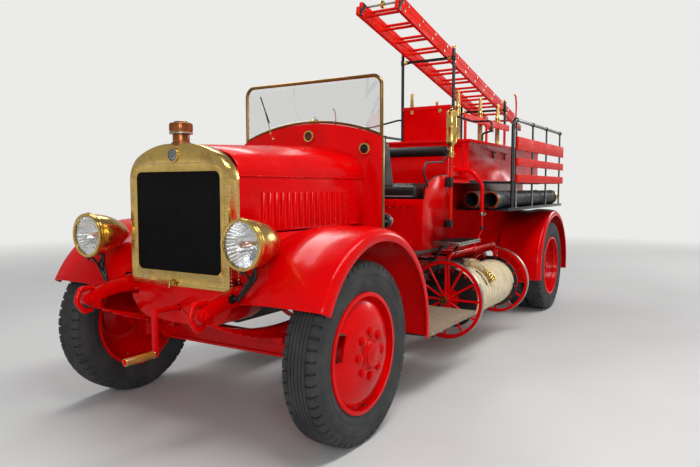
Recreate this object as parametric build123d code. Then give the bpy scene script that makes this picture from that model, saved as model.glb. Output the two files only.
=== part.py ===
"""Open-cab motor fire engine of the 1920s: brass radiator, twin rear wheels, hose reels and a sliding ladder.

Millimetres. +X is forward, +Y the vehicle's left, +Z up; the ground is Z = 0 and X = Y = 0 the box's middle.
"""

import os
from math import cos, hypot, pi, radians, sin, sqrt, tan

from build123d import *

# Clearances
SEAT = 0.3            # gap where a piece seats on its carrier
RUN = 5.0             # least gap beside a moving piece

# Axles and wheels
FRONT_AXLE_X = 2330.0
WHEELBASE = 4270.0
REAR_AXLE_X = FRONT_AXLE_X - WHEELBASE
TYRE_R = 490.0
RIM_R = 312.0
RIM_WALL = 9.0
FRONT_TYRE_W = 205.0
FRONT_TYRE_Y = 878.0          # middle of the front tyre
REAR_TYRE_W = 190.0
REAR_OUTER_Y = 812.0          # middle of the outer rear tyre
TWIN_PITCH = 212.0
AXLE_Z = TYRE_R
KINGPIN_Y = 700.0
KINGPIN_R = 20.0
STUB_R = 26.0
REAR_SPINDLE_R = 38.0
REAR_HUB_IN = 480.0           # inner end of the rear hubs
REAR_SPINDLE_END = 815.0
HUB_NUTS = 8
TRACK_ARM = 190.0             # from the kingpin back to the track rod
TRACK_EYE_DROP = 106.0
TRACK_ROD_END_Y = 655.0
TORQUE_TUBE_FRONT_X = 880.0
TORQUE_TUBE_Z = AXLE_Z + 90.0
ENGINE_FRONT_X = 2560.0

# Chassis frame
RAIL_OUT = 460.0
RAIL_FLANGE = 60.0
RAIL_T = 8.0
RAIL_BOTTOM = 720.0
RAIL_TOP = 860.0
RAIL_REAR_X = -2360.0
TOW_PIN_R = 16.5
DUMB_IRON_ROOT_X = 2560.0
DUMB_IRON_TIP_X = 2975.0
DUMB_IRON_TIP_Z = 745.0
CROSS_MEMBER_R = 32.0
CROSS_MEMBERS = (     # x, z
    (2665.0, 815.0 - 0.3 - CROSS_MEMBER_R),
    (980.0, 790.0),
    (250.0, 790.0),
    (-1100.0, 790.0),
    (-2300.0, 790.0),
)

# Springs
SPRING_Y = 430.0
SPRING_W = 64.0
LEAF_T = 8.0
LEAVES = 8
FRONT_SPRING_HALF = 600.0
REAR_SPRING_HALF = 640.0
SPRING_END_Z = RAIL_BOTTOM - 24.0   # underside of the hangers, where the main leaves end

# Radiator and bonnet
RADIATOR_FRONT_X = 2713.0
RADIATOR_DEPTH = 85.0
RADIATOR_HALF = 378.0
RADIATOR_BOTTOM = 815.0
RADIATOR_TOP = 1595.0
CORE_HALF = 320.0
CORE_BOTTOM = 896.0
CORE_TOP = 1445.0
CORE_CORNER = 38.0
SHELL_T = 8.0
BONNET_T = 4.0
HINGE_Z = 1420.0
SIDE_PANEL_BOTTOM = 1112.0
BONNET_FRONT_HALF = 372.0
BONNET_REAR_HALF = 447.0
LOUVRES = 16
LOUVRE_X = (2440.0, 1640.0)

# Bulkhead and windscreen
BULKHEAD_X = 1464.0
BULKHEAD_T = 25.0
BULKHEAD_HALF = 594.0
BULKHEAD_EDGE_Z = 1693.0
BULKHEAD_CROWN_Z = 1810.0
SCREEN_TOP = 2116.0
SCREEN_TUBE_R = 12.0
SCREEN_SILL_R = 10.0
SCREEN_CORNER = 70.0
GLASS_T = 6.0
BONNET_BACK_X = BULKHEAD_X + SEAT
BONNET_FRONT_X = RADIATOR_FRONT_X - RADIATOR_DEPTH - SEAT

# Cab
FLOOR_T = 25.0
CAB_HALF = 620.0
SEAT_FRONT_X = 880.0
SEAT_BACK_X = 400.0
SEAT_BOARD_Z = 1270.0
CUSHION_H = 115.0
BACK_TOP = 1600.0
PANEL_T = 20.0
ROLL_R = 52.0
WHEEL_Y = -350.0
STEERING_WHEEL_R = 215.0
COLUMN_R = 22.0
COLUMN_FOOT = (1395.0, 905.0)     # x, z
COLUMN_HEAD = (1135.0, 1500.0)

# Body behind the cab
BODY_FRONT_X = SEAT_BACK_X - PANEL_T
BODY_REAR_X = -2230.0
CHEST_HALF = 480.0
DECK_HALF = 662.0
DECK_Z = 1395.0
DECK_T = 25.0
BOX_FRONT_X = 20.0
BOX_HALF = 650.0
BOX_TOP = 1775.0
TOP_LOCKER_X = (-520.0, -680.0)
TOP_LOCKER_HALF = 245.0
TOP_LOCKER_TOP = 2135.0

# Side racks and hoses
SHELF_TOP = 1180.0
SHELF_T = 22.0
SHELF_X = (-120.0, -2070.0)
RACK_Y = 945.0
RACK_RAIL_Z = 1955.0
RACK_POST_X = (-370.0, -905.0, -1420.0, -2000.0)
HOSE_R = 75.0
HOSE_X = (30.0, -2060.0)
HOSE_ROWS = (RACK_Y - 20.0 - HOSE_R, RACK_Y - 35.0 - 3 * HOSE_R)
PLANK_ROWS = (        # bottom, top
    (1402.0, 1476.0),
    (1550.0, 1622.0),
    (1692.0, 1808.0),
)
ROOF_RAIL_Y = 300.0

# Mudguards
GUARD_R = 630.0
GUARD_T = 4.0
GUARD_OUT = 1030.0
GUARD_CENTRE = (FRONT_AXLE_X - 90.0, 520.0)
GUARD_LIP_A = 25.5         # degrees above the horizontal where the front lip ends
REAR_GUARD_R = 630.0
REAR_GUARD_OUT = 935.0

# Reels
REEL_Y = 715.0
REEL_Z = 490.0
REEL_WHEEL_R = 305.0
REEL_WHEEL_T = 36.0
REEL_WHEEL_X = (650.0, -570.0)
REEL_LEG_X = (600.0, -520.0)
REEL_FLANGE_X = (570.0, -490.0)
REEL_FLANGE_T = 12.0
REEL_FLANGE_R = 232.0
REEL_HOSE_R = 205.0
REEL_CORE_R = 90.0
REEL_SHAFT_R = 18.0
REEL_SPOKES = 12
REEL_TUBE_Z = 838.0
REEL_TUBE_R = 16.0

# Steps
TREAD_X = (290.0, 730.0)
TREAD_Y = (626.0, 860.0)
TREAD_Z = 945.0
SLAT_STEP_X = (760.0, 1560.0)
SLAT_STEP_Y = (600.0, 1000.0)
SLAT_STEP_Z = 450.0

# Ladder
LADDER_TILT = 11.5
LADDER_REF = (-620.0, 2600.0)     # a point of the underside line
LADDER_FRONT_X = 490.0
LADDER_REAR_X = -3080.0
LADDER_HALF = 200.0
LADDER_RAIL_W = 30.0
LADDER_RAIL_H = 72.0
FLY_RAIL_H = 58.0
RUNG_R = 13.0
RUNG_PITCH = 285.0

# Lamps
LAMP_X = 2858.0
LAMP_Y = 586.0
LAMP_Z = 1083.0
LAMP_R = 125.0
LAMP_LENGTH = 285.0
LENS_R = 112.0

# Starting handle
CRANK_Z = 700.0
CRANK_TIP_X = 3080.0


def place(plane, u, v, w):
    """The 3-D point of (u, v) in the named plane at height w along its normal."""
    return {"xz": (u, w, v), "yz": (w, u, v), "xy": (u, v, w)}[plane]


def outline(plane, start, *steps, at=0.0):
    """A face from a start point and steps: a point is a line, a pair is an arc through its first point."""
    edges, here = [], start
    for step in steps:
        if isinstance(step[0], tuple):
            mid, end = step
            through = [place(plane, *p, at) for p in (here, mid, end)]
            edges.append(Edge.make_three_point_arc(*through))
        else:
            end = step
            edges.append(Edge.make_line(place(plane, *here, at), place(plane, *end, at)))
        here = end
    if hypot(here[0] - start[0], here[1] - start[1]) > 1e-6:
        edges.append(Edge.make_line(place(plane, *here, at), place(plane, *start, at)))
    return Face(Wire(edges))


def slab(plane, low, high, start, *steps):
    """The outline swept straight from low to high along its plane's normal."""
    normal = {"xz": (0, 1, 0), "yz": (1, 0, 0), "xy": (0, 0, 1)}[plane]
    face = outline(plane, start, *steps, at=low)
    return Solid.extrude(face, Vector(*normal) * (high - low))


def box(x, y, z):
    """A box from (low, high) along each axis."""
    (x0, x1), (y0, y1), (z0, z1) = sorted(x), sorted(y), sorted(z)
    return Pos((x0 + x1) / 2, (y0 + y1) / 2, (z0 + z1) / 2) * Box(x1 - x0, y1 - y0, z1 - z0)


def rod(a, b, radius):
    """A round bar from point a to point b."""
    a, b = Vector(*a), Vector(*b)
    from_end = (Align.CENTER, Align.CENTER, Align.MIN)
    return Plane(origin=a, z_dir=b - a) * Cylinder(radius, (b - a).length, align=from_end)


def tube(points, radius, bend):
    """A round bar along points, each inner corner rounded at radius bend."""
    points = [Vector(*p) for p in points]
    edges, here = [], points[0]
    for before, corner, after in zip(points, points[1:], points[2:]):
        into, out = (corner - before).normalized(), (after - corner).normalized()
        half = into.get_angle(out) / 2
        cut = bend * tan(radians(half))
        a, b = corner - into * cut, corner + out * cut
        mid = corner + (out - into).normalized() * (bend / cos(radians(half)) - bend)
        edges += [Edge.make_line(here, a), Edge.make_three_point_arc(a, mid, b)]
        here = b
    edges.append(Edge.make_line(here, points[-1]))
    path = Wire(edges)
    start = Plane(origin=points[0], z_dir=points[1] - points[0])
    return sweep(start * Circle(radius), path=path)


def spun(axis_point, axis_dir, radial_dir, section, arc=360.0):
    """A (radius, along) section turned about an axis; a step of the section may be an arc as in outline."""
    origin, along, out = Vector(*axis_point), Vector(*axis_dir).normalized(), Vector(*radial_dir).normalized()

    def at(p):
        return origin + out * p[0] + along * p[1]

    edges, here = [], section[0]
    for step in [*section[1:], section[0]]:
        if isinstance(step[0], tuple):
            mid, end = step
            edges.append(Edge.make_three_point_arc(at(here), at(mid), at(end)))
        else:
            end = step
            if hypot(end[0] - here[0], end[1] - here[1]) < 1e-9:
                continue
            edges.append(Edge.make_line(at(here), at(end)))
        here = end
    return revolve(Face(Wire(edges)), axis=Axis(origin, along), revolution_arc=arc)


def mirrored(shape):
    """The same shape on the vehicle's other side."""
    return shape.mirror(Plane.XZ)


def fused(first, *others):
    """One solid from several that meet."""
    return first.fuse(*others) if others else first


def solids_of(*shapes):
    """The solids of several shapes in one compound."""
    return Compound(children=[s for shape in shapes for s in shape.solids()])


# Chassis

def make_frame():
    """Channel side rails with dumb irons, tow hooks and spring hangers, the cross members and the tow jaw."""
    inner = RAIL_OUT - RAIL_FLANGE
    web = RAIL_OUT - RAIL_T
    channel = slab("yz", RAIL_REAR_X, DUMB_IRON_ROOT_X,
                   (RAIL_OUT, RAIL_BOTTOM), (RAIL_OUT, RAIL_TOP), (inner, RAIL_TOP),
                   (inner, RAIL_TOP - RAIL_T), (web, RAIL_TOP - RAIL_T), (web, RAIL_BOTTOM + RAIL_T),
                   (inner, RAIL_BOTTOM + RAIL_T), (inner, RAIL_BOTTOM))
    tip_x, tip_z = DUMB_IRON_TIP_X, DUMB_IRON_TIP_Z
    iron = slab("xz", inner + 5, RAIL_OUT, (DUMB_IRON_ROOT_X, RAIL_BOTTOM), (DUMB_IRON_ROOT_X, RAIL_TOP),
                ((DUMB_IRON_ROOT_X + 230, RAIL_TOP - 30), (tip_x, tip_z + 34)),
                ((tip_x + 30, tip_z), (tip_x, tip_z - 34)),
                ((DUMB_IRON_ROOT_X + 230, RAIL_BOTTOM + 34), (DUMB_IRON_ROOT_X, RAIL_BOTTOM)))
    y = SPRING_Y
    hook = tube([(tip_x - 40, y, tip_z + 60), (tip_x + 45, y, tip_z + 60), (tip_x + 70, y, tip_z - 5),
                 (tip_x + 25, y, tip_z - 70), (tip_x - 25, y, tip_z - 60)], 15, 26)
    side = fused(channel, iron, hook)
    spring_ends = (REAR_AXLE_X - REAR_SPRING_HALF, REAR_AXLE_X + REAR_SPRING_HALF,
                   FRONT_AXLE_X - FRONT_SPRING_HALF, FRONT_AXLE_X + FRONT_SPRING_HALF)
    for x in spring_ends:
        side = side.fuse(box((x - 22, x + 22), (y - 26, y + 26), (SPRING_END_Z, RAIL_BOTTOM + 20)))
    members = [rod((x, -web, z), (x, web, z), CROSS_MEMBER_R) for x, z in CROSS_MEMBERS]
    jaw_x = RAIL_REAR_X - 35
    jaw = [box((jaw_x - 30, -2300), (-34, 34), (790 + s * 27 - 8, 790 + s * 27 + 8)) for s in (1, -1)]
    pin_hole = rod((jaw_x, 0, 700), (jaw_x, 0, 900), TOW_PIN_R)
    return fused(side, mirrored(side), *members, *jaw).cut(pin_hole)


def leaf_pack(x, half, top_z, rise):
    """One pack of leaves on the left: the main leaf's ends rise above its middle, the others are shorter."""
    radius = (half ** 2 + rise ** 2) / (2 * rise)
    pack = None
    for i in range(LEAVES):
        reach = half * (1 - 0.115 * i)

        def level(u, depth):
            return top_z - depth + radius - sqrt(radius ** 2 - u ** 2)

        hi, lo = i * LEAF_T, (i + 1) * LEAF_T
        leaf = slab("xz", SPRING_Y - SPRING_W / 2, SPRING_Y + SPRING_W / 2,
                    (x - reach, level(reach, hi)), ((x, level(0, hi)), (x + reach, level(reach, hi))),
                    (x + reach, level(reach, lo)), ((x, level(0, lo)), (x - reach, level(reach, lo))))
        pack = leaf if pack is None else pack.fuse(leaf)
    return pack


def make_leaf_springs():
    """Four packs, each on its axle's pad and up to its hangers."""
    pack_h = LEAVES * LEAF_T
    front_base = AXLE_Z + 30
    rear_base = AXLE_Z + 66
    eyes_z = SPRING_END_Z - SEAT
    front = leaf_pack(FRONT_AXLE_X, FRONT_SPRING_HALF, front_base + pack_h, eyes_z - front_base - pack_h)
    rear = leaf_pack(REAR_AXLE_X, REAR_SPRING_HALF, rear_base + pack_h, eyes_z - rear_base - pack_h)
    return solids_of(front, mirrored(front), rear, mirrored(rear))


def make_front_axle():
    """A dropped I-section beam with the kingpin bosses at its ends and a pad under each spring."""
    x, z = FRONT_AXLE_X, AXLE_Z
    drop = 60
    low = z - 34
    beam = slab("yz", x - 28, x + 28, (KINGPIN_Y, z + 30), (-KINGPIN_Y, z + 30), (-KINGPIN_Y, low),
                (-620, low), (-520, low - drop), (520, low - drop), (620, low), (KINGPIN_Y, low))
    relief = slab("yz", x + 10, x + 30,
                  (600, z + 14), (-600, z + 14), (-500, z - 20 - drop), (500, z - 20 - drop))
    beam = beam.cut(relief, relief.mirror(Plane(origin=(x, 0, 0), z_dir=(1, 0, 0))))
    kingpins = (KINGPIN_Y, -KINGPIN_Y)
    bosses = [rod((x, y, z - 70), (x, y, z + 70), 36) for y in kingpins]
    pads = [box((x - 60, x + 60), (y - 36, y + 36), (z - 10, z + 30 - SEAT)) for y in (SPRING_Y, -SPRING_Y)]
    beam = fused(beam, *bosses, *pads)
    holes = [rod((x, y, z - 90), (x, y, z + 90), KINGPIN_R + 0.05) for y in kingpins]
    top = box((x - 80, x + 80), (-660, 660), (z + 30 - SEAT, z + 60))
    return beam.cut(*holes).cut(top)


def make_knuckle():
    """The left knuckle: forked ears over the axle boss, the pin, the stub axle and the track-rod arm."""
    x, y, z = FRONT_AXLE_X, KINGPIN_Y, AXLE_Z
    near, far, arm_z = 70 + SEAT, 104, z - 88
    ears = [rod((x, y, z + s * near), (x, y, z + s * far), 34) for s in (1, -1)]
    pin = rod((x, y, z - far), (x, y, z + far), KINGPIN_R)
    yoke = box((x - 30, x + 30), (y + 40, y + 68), (z - far, z + far))
    links = [box((x - 30, x + 30), (y, y + 50), (z + s * near, z + s * far)) for s in (1, -1)]
    stub = rod((x, y + 60, z), (x, FRONT_TYRE_Y + 95, z), STUB_R)
    eye_x, eye_y = x - TRACK_ARM, TRACK_ROD_END_Y
    arm = tube([(x - 20, y, arm_z), (x - 90, y - 10, arm_z), (eye_x, eye_y, arm_z)], 14, 30)
    eye = rod((eye_x, eye_y, z - TRACK_EYE_DROP), (eye_x, eye_y, z - 66), 20)
    return fused(ears[0], ears[1], pin, yoke, *links, stub, arm, eye)


def make_tie_rod():
    """The track rod, its end cups hung under the knuckle arms' eyes."""
    top = AXLE_Z - TRACK_EYE_DROP - SEAT
    z = top - 20
    x = FRONT_AXLE_X - TRACK_ARM
    end = TRACK_ROD_END_Y
    bar = rod((x, -end, z), (x, end, z), 13)
    sleeves = [rod((x, s * (end - 150), z), (x, s * (end - 40), z), 18) for s in (1, -1)]
    cups = [rod((x, s * end, z - 22), (x, s * end, top), 22) for s in (1, -1)]
    return fused(bar, *sleeves, *cups)


def make_rear_axle():
    """Banjo casing with axle tubes, spindles and spring pads, and the torque tube to its bell in front."""
    x, z = REAR_AXLE_X, AXLE_Z
    ball = Pos(x, 0, z) * Sphere(165)
    tubes = rod((x, -REAR_HUB_IN + RUN, z), (x, REAR_HUB_IN - RUN, z), 66)
    spindles = rod((x, -REAR_SPINDLE_END, z), (x, REAR_SPINDLE_END, z), REAR_SPINDLE_R)
    pads = [box((x - 70, x + 70), (y - 34, y + 34), (z, z + 66 - SEAT)) for y in (SPRING_Y, -SPRING_Y)]
    front, level = TORQUE_TUBE_FRONT_X, TORQUE_TUBE_Z
    torque = rod((x, 0, z), (front - 40, 0, level), 52)
    bell = rod((front - 120, 0, level), (front, 0, level), 80)
    return fused(ball, tubes, spindles, *pads, torque, bell)


def make_engine():
    """Engine block, sump and gearbox as plain blocks at their real places, with the arms to the frame."""
    block = box((1580, ENGINE_FRONT_X), (-215, 215), (650, 1240))
    sump = box((1640, 2400), (-150, 150), (570, 660))
    gearbox = box((1180, 1600), (-150, 150), (540, 835))
    tail = rod((1200, 0, TORQUE_TUBE_Z), (TORQUE_TUBE_FRONT_X + SEAT, 0, TORQUE_TUBE_Z), 60)
    reach = RAIL_OUT - RAIL_T - SEAT
    arms = [box((x, x + 60), (-reach, reach), (RAIL_BOTTOM + 70, RAIL_BOTTOM + 95)) for x in (1700, 2360)]
    return fused(block, sump, gearbox, tail, *arms)


def tyre(y, width, x):
    """One tyre about the axle line at x, its middle at y: flat tread, round shoulders, bead on the rim."""
    h = width / 2
    bulge = RIM_R + (TYRE_R - RIM_R) * 0.42
    section = [
        (RIM_R, -h * 0.80), ((bulge, -h), (TYRE_R - 34, -h * 0.93)),
        ((TYRE_R - 9, -h * 0.83), (TYRE_R - 3, -h * 0.66)), ((TYRE_R, 0), (TYRE_R - 3, h * 0.66)),
        ((TYRE_R - 9, h * 0.83), (TYRE_R - 34, h * 0.93)), ((bulge, h), (RIM_R, h * 0.80)),
    ]
    return spun((x, y, AXLE_Z), (0, 1, 0), (1, 0, 0), section)


def wheel_nuts(x, ring, low, high, radius):
    """The ring of nuts about the axle line at x, from low to high across the vehicle."""
    angles = [2 * pi * k / HUB_NUTS for k in range(HUB_NUTS)]
    middles = [(x + ring * cos(a), AXLE_Z + ring * sin(a)) for a in angles]
    return [rod((u, low, v), (u, high, v), radius) for u, v in middles]


def make_front_wheel():
    """Left front wheel: a domed disc on a flanged rim, hub bored for the stub axle."""
    x, y, z = FRONT_AXLE_X, FRONT_TYRE_Y, AXLE_Z
    h = FRONT_TYRE_W / 2 * 0.80
    rim = spun((x, y, z), (0, 1, 0), (1, 0, 0), [
        (RIM_R - SEAT, -h), (RIM_R + 8, -h - 4), (RIM_R + 8, -h - 12), (RIM_R - RIM_WALL, -h - 12),
        (RIM_R - RIM_WALL, h + 12), (RIM_R + 8, h + 12), (RIM_R + 8, h + 4), (RIM_R - SEAT, h)])
    face = spun((x, y, z), (0, 1, 0), (1, 0, 0), [
        (RIM_R - RIM_WALL / 2, h - 30), ((210, h + 22), (150, h + 38)), (96, h + 40), (96, h + 30),
        (150, h + 29), ((212, h + 12), (RIM_R - RIM_WALL / 2, h - 42))])
    bore = STUB_R + SEAT
    hub = spun((x, y, z), (0, 1, 0), (1, 0, 0), [
        (bore, -h + 10), (70, -h + 10), (78, h - 20), (150, h + 20), (150, h + 36), (78, h + 42),
        (62, h + 62),
        ((50, h + 66), (36, h + 66)), (0.0, h + 66), (0.0, h + 30), (bore, h + 30)])
    hole = [(228, -h), (268, -h), (268, h + 60), (228, h + 60)]
    ways = [(cos(a), 0, sin(a)) for a in (radians(35), radians(215))]
    hand_holes = [spun((x, y, z), (0, 1, 0), way, hole, 34) for way in ways]
    nuts = wheel_nuts(x, 118, y + h + 30, y + h + 58, 14)
    return fused(rim, face.cut(*hand_holes), hub, *nuts)


def make_rear_wheel():
    """Left rear wheel: twin rims joined by a deep dished disc, with the brake drum behind."""
    x, z = REAR_AXLE_X, AXLE_Z
    y_out, y_in = REAR_OUTER_Y, REAR_OUTER_Y - TWIN_PITCH
    h = REAR_TYRE_W / 2 * 0.80
    seat, flange, wall = RIM_R - SEAT, RIM_R + 8, RIM_R - RIM_WALL
    rims = spun((x, 0, z), (0, 1, 0), (1, 0, 0), [
        (seat, y_in - h), (flange, y_in - h - 4), (flange, y_in - h - 11), (wall, y_in - h - 11),
        (wall, y_out + h + 11), (flange, y_out + h + 11), (flange, y_out + h + 4), (seat, y_out + h),
        (seat, y_out - h), (RIM_R + 6, y_out - h - 3), (RIM_R + 6, y_in + h + 3), (seat, y_in + h)])
    disc_y = y_in + 70
    edge = RIM_R - RIM_WALL / 2
    face = spun((x, 0, z), (0, 1, 0), (1, 0, 0), [
        (edge, disc_y + 110), ((250, disc_y + 40), (205, disc_y + 16)), (100, disc_y + 10), (100, disc_y),
        (208, disc_y + 4), ((256, disc_y + 30), (edge, disc_y + 96))])
    bore, hub_in, bore_end = REAR_SPINDLE_R + SEAT, REAR_HUB_IN, REAR_SPINDLE_END + RUN
    hub = spun((x, 0, z), (0, 1, 0), (1, 0, 0), [
        (bore, hub_in), (80, hub_in), (80, disc_y - 8), (150, disc_y - 2), (150, disc_y + 26),
        (92, disc_y + 34),
        (84, disc_y + 130), (70, disc_y + 160), (0.0, disc_y + 160), (0.0, bore_end), (bore, bore_end)])
    drum = spun((x, 0, z), (0, 1, 0), (1, 0, 0), [
        (60, hub_in + 60), (212, hub_in + 60), (212, hub_in + 2), (220, hub_in + 2), (220, hub_in + 70),
        (60, hub_in + 70)])
    nuts = wheel_nuts(x, 122, disc_y + 20, disc_y + 50, 13)
    return fused(rims, face, hub, drum, *nuts)


# Radiator, bonnet, bulkhead

def arch(half, shoulder_z, crown_z):
    """The upper outline from (half, shoulder) over the crown: two arcs a side."""
    rise = crown_z - shoulder_z
    corner = (half * 0.80, shoulder_z + rise * 0.70)
    knee = (half * 0.955, shoulder_z + rise * 0.40)
    shoulder = (half * 0.46, shoulder_z + rise * 0.935)
    return corner, knee, shoulder


def arched_face(half, low_z, shoulder_z, crown_z, at):
    """A closed arched section in the YZ plane."""
    c, k, s = arch(half, shoulder_z, crown_z)
    fc, fk, fs = [(-y, z) for y, z in (c, k, s)]
    return outline("yz", (half, low_z), (half, shoulder_z), (k, c), (s, (0, crown_z)), (fs, fc),
                   (fk, (-half, shoulder_z)), (-half, low_z), at=at)


def make_radiator_shell():
    """Arched brass shell open over the core, with its filler neck and cap."""
    back = RADIATOR_FRONT_X - RADIATOR_DEPTH
    t = SHELL_T
    outside = arched_face(RADIATOR_HALF, RADIATOR_BOTTOM, 1382, RADIATOR_TOP, back)
    inside = arched_face(RADIATOR_HALF - t, RADIATOR_BOTTOM + t, 1380, RADIATOR_TOP - t, back)
    outer = Solid.extrude(outside, Vector(RADIATOR_DEPTH, 0, 0))
    inner = Solid.extrude(inside, Vector(RADIATOR_DEPTH - t, 0, 0))
    opening = box((back, RADIATOR_FRONT_X + 5), (-CORE_HALF, CORE_HALF), (CORE_BOTTOM, CORE_TOP))
    opening = fillet(opening.edges().filter_by(Axis.X), CORE_CORNER)
    shell = outer.cut(inner).cut(opening)
    x = RADIATOR_FRONT_X - RADIATOR_DEPTH / 2
    neck = rod((x, 0, RADIATOR_TOP - t - 2), (x, 0, 1652), RADIATOR_DEPTH / 2 - 2)
    cap = rod((x, 0, 1650), (x, 0, 1708), 60)
    return fused(shell, neck, cap)


def make_radiator_core():
    """The core as one block just inside the shell's opening."""
    back = RADIATOR_FRONT_X - RADIATOR_DEPTH
    half = CORE_HALF - SEAT
    block = box((back + 4, RADIATOR_FRONT_X - 6), (-half, half), (CORE_BOTTOM + SEAT, CORE_TOP - SEAT))
    return fillet(block.edges().filter_by(Axis.X), CORE_CORNER)


def bonnet_half(x):
    """The bonnet's half width at x."""
    share = (BONNET_FRONT_X - x) / (BONNET_FRONT_X - BONNET_BACK_X)
    return BONNET_FRONT_HALF + share * (BONNET_REAR_HALF - BONNET_FRONT_HALF)


def make_bonnet_top():
    """The crowned top, a thin shell lofted from the radiator back to the bulkhead."""
    def skin(inset, low):
        """The solid under the top, drawn in by inset."""
        front = arched_face(BONNET_FRONT_HALF - inset, low, HINGE_Z + 4, 1590 - inset, BONNET_FRONT_X)
        rear = arched_face(BONNET_REAR_HALF - inset, low, HINGE_Z + 4, 1645 - inset, BONNET_BACK_X)
        return Solid.make_loft([front.outer_wire(), rear.outer_wire()], True)

    return skin(0, HINGE_Z).cut(skin(BONNET_T, HINGE_Z - 40))


def make_bonnet_side():
    """The left hinged panel with its raised louvres."""
    low, high = SIDE_PANEL_BOTTOM, HINGE_Z - SEAT
    f, r = BONNET_FRONT_X - 2, BONNET_BACK_X + 2
    hf, hr = bonnet_half(f), bonnet_half(r)
    panel = slab("xy", low, high, (f, hf), (r, hr), (r, hr - BONNET_T), (f, hf - BONNET_T))
    for k in range(LOUVRES):
        x = LOUVRE_X[0] - k * ((LOUVRE_X[0] - LOUVRE_X[1]) / (LOUVRES - 1))
        y = bonnet_half(x)
        louvre = slab("xy", low + 14, high - 90,
                      (x - 14, y - 2), (x - 14, y + 2), (x + 12, y + 9), (x + 16, y + 9), (x + 16, y - 2))
        panel = panel.fuse(louvre)
    return panel


def make_scuttle():
    """The bulkhead board with its arched crown and the two holes for lamp and dial."""
    top = ((0, BULKHEAD_CROWN_Z), (-BULKHEAD_HALF, BULKHEAD_EDGE_Z))
    board = slab("yz", BULKHEAD_X - BULKHEAD_T, BULKHEAD_X, (-BULKHEAD_HALF, RAIL_TOP + FLOOR_T),
                 (BULKHEAD_HALF, RAIL_TOP + FLOOR_T), (BULKHEAD_HALF, BULKHEAD_EDGE_Z), top)
    holes = [rod((BULKHEAD_X - 40, y, z), (BULKHEAD_X + 10, y, z), 34) for y, z in ((0, 1722), (459, 1619))]
    return board.cut(*holes)


def screen_path(inset):
    """Half width and height of the windscreen's hoop, drawn in by inset."""
    half = BULKHEAD_HALF - SCREEN_TUBE_R - inset
    return half, SCREEN_TOP - SCREEN_TUBE_R - inset


def make_windscreen_frame():
    """Hoop of brass tube with a curved sill over the bulkhead's crown; its legs stand on the board's edge."""
    x = BULKHEAD_X - BULKHEAD_T / 2
    r = SCREEN_TUBE_R
    half, top = screen_path(0)
    foot = BULKHEAD_EDGE_Z - 2 * r
    low = BULKHEAD_EDGE_Z + r + 4
    hoop = tube([(x, half, foot), (x, half, top), (x, -half, top), (x, -half, foot)], r, SCREEN_CORNER)
    crown = BULKHEAD_CROWN_Z + r + SEAT
    arc = Wire([Edge.make_three_point_arc((x, half, low), (x, 0, crown), (x, -half, low))])
    sill = sweep(Plane(origin=arc @ 0, z_dir=arc % 0) * Circle(SCREEN_SILL_R), path=arc)
    edge = BULKHEAD_EDGE_Z + SEAT
    board = slab("yz", x - 40, x + 40,
                 (-700, 1500), (700, 1500), (700, BULKHEAD_EDGE_Z), (BULKHEAD_HALF, edge),
                 ((0, BULKHEAD_CROWN_Z + SEAT), (-BULKHEAD_HALF, edge)), (-700, BULKHEAD_EDGE_Z))
    return hoop.fuse(sill).cut(board)


def make_windscreen_glass():
    """The pane, seated inside the hoop and over the curved sill."""
    x = BULKHEAD_X - BULKHEAD_T / 2
    half, top = screen_path(SCREEN_TUBE_R + SEAT)
    low = BULKHEAD_EDGE_Z + 2 * SCREEN_TUBE_R + 14
    crown = BULKHEAD_CROWN_Z + 2 * SCREEN_TUBE_R + 3 * SEAT
    c = SCREEN_CORNER - SCREEN_TUBE_R
    d = c * (1 - sqrt(0.5))
    right = ((half - d, top - d), (half - c, top))
    left = ((-half + d, top - d), (-half, top - c))
    return slab("yz", x - GLASS_T / 2, x + GLASS_T / 2,
                (half, low), (half, top - c), right, (-half + c, top), left, (-half, low), ((0, crown), (half, low)))


# Mudguards

def guard_section(out_y, in_y, crown_r, inner_r, lip):
    """(radius, y) section of a crowned guard: skirt, rounded shoulder, crest, fall to the inner edge."""
    t, r = GUARD_T, crown_r
    crest_y = out_y - 210
    fall_y = (crest_y + in_y) / 2 + 30
    outside = [(r - lip, out_y), (r - 46, out_y), ((r - 22, out_y - 12), (r - 8, out_y - 44)),
               ((r - 1, out_y - 110), (r, crest_y)), ((r - 14, fall_y), (inner_r, in_y))]
    inside = [(inner_r - t, in_y), ((r - 14 - t, fall_y), (r - t, crest_y)),
              ((r - 1 - t, out_y - 110), (r - 8 - t, out_y - 44 - t)),
              ((r - 22 - t, out_y - 12 - t), (r - 46 - t, out_y - t)), (r - lip, out_y - t)]
    return outside + inside


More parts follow.
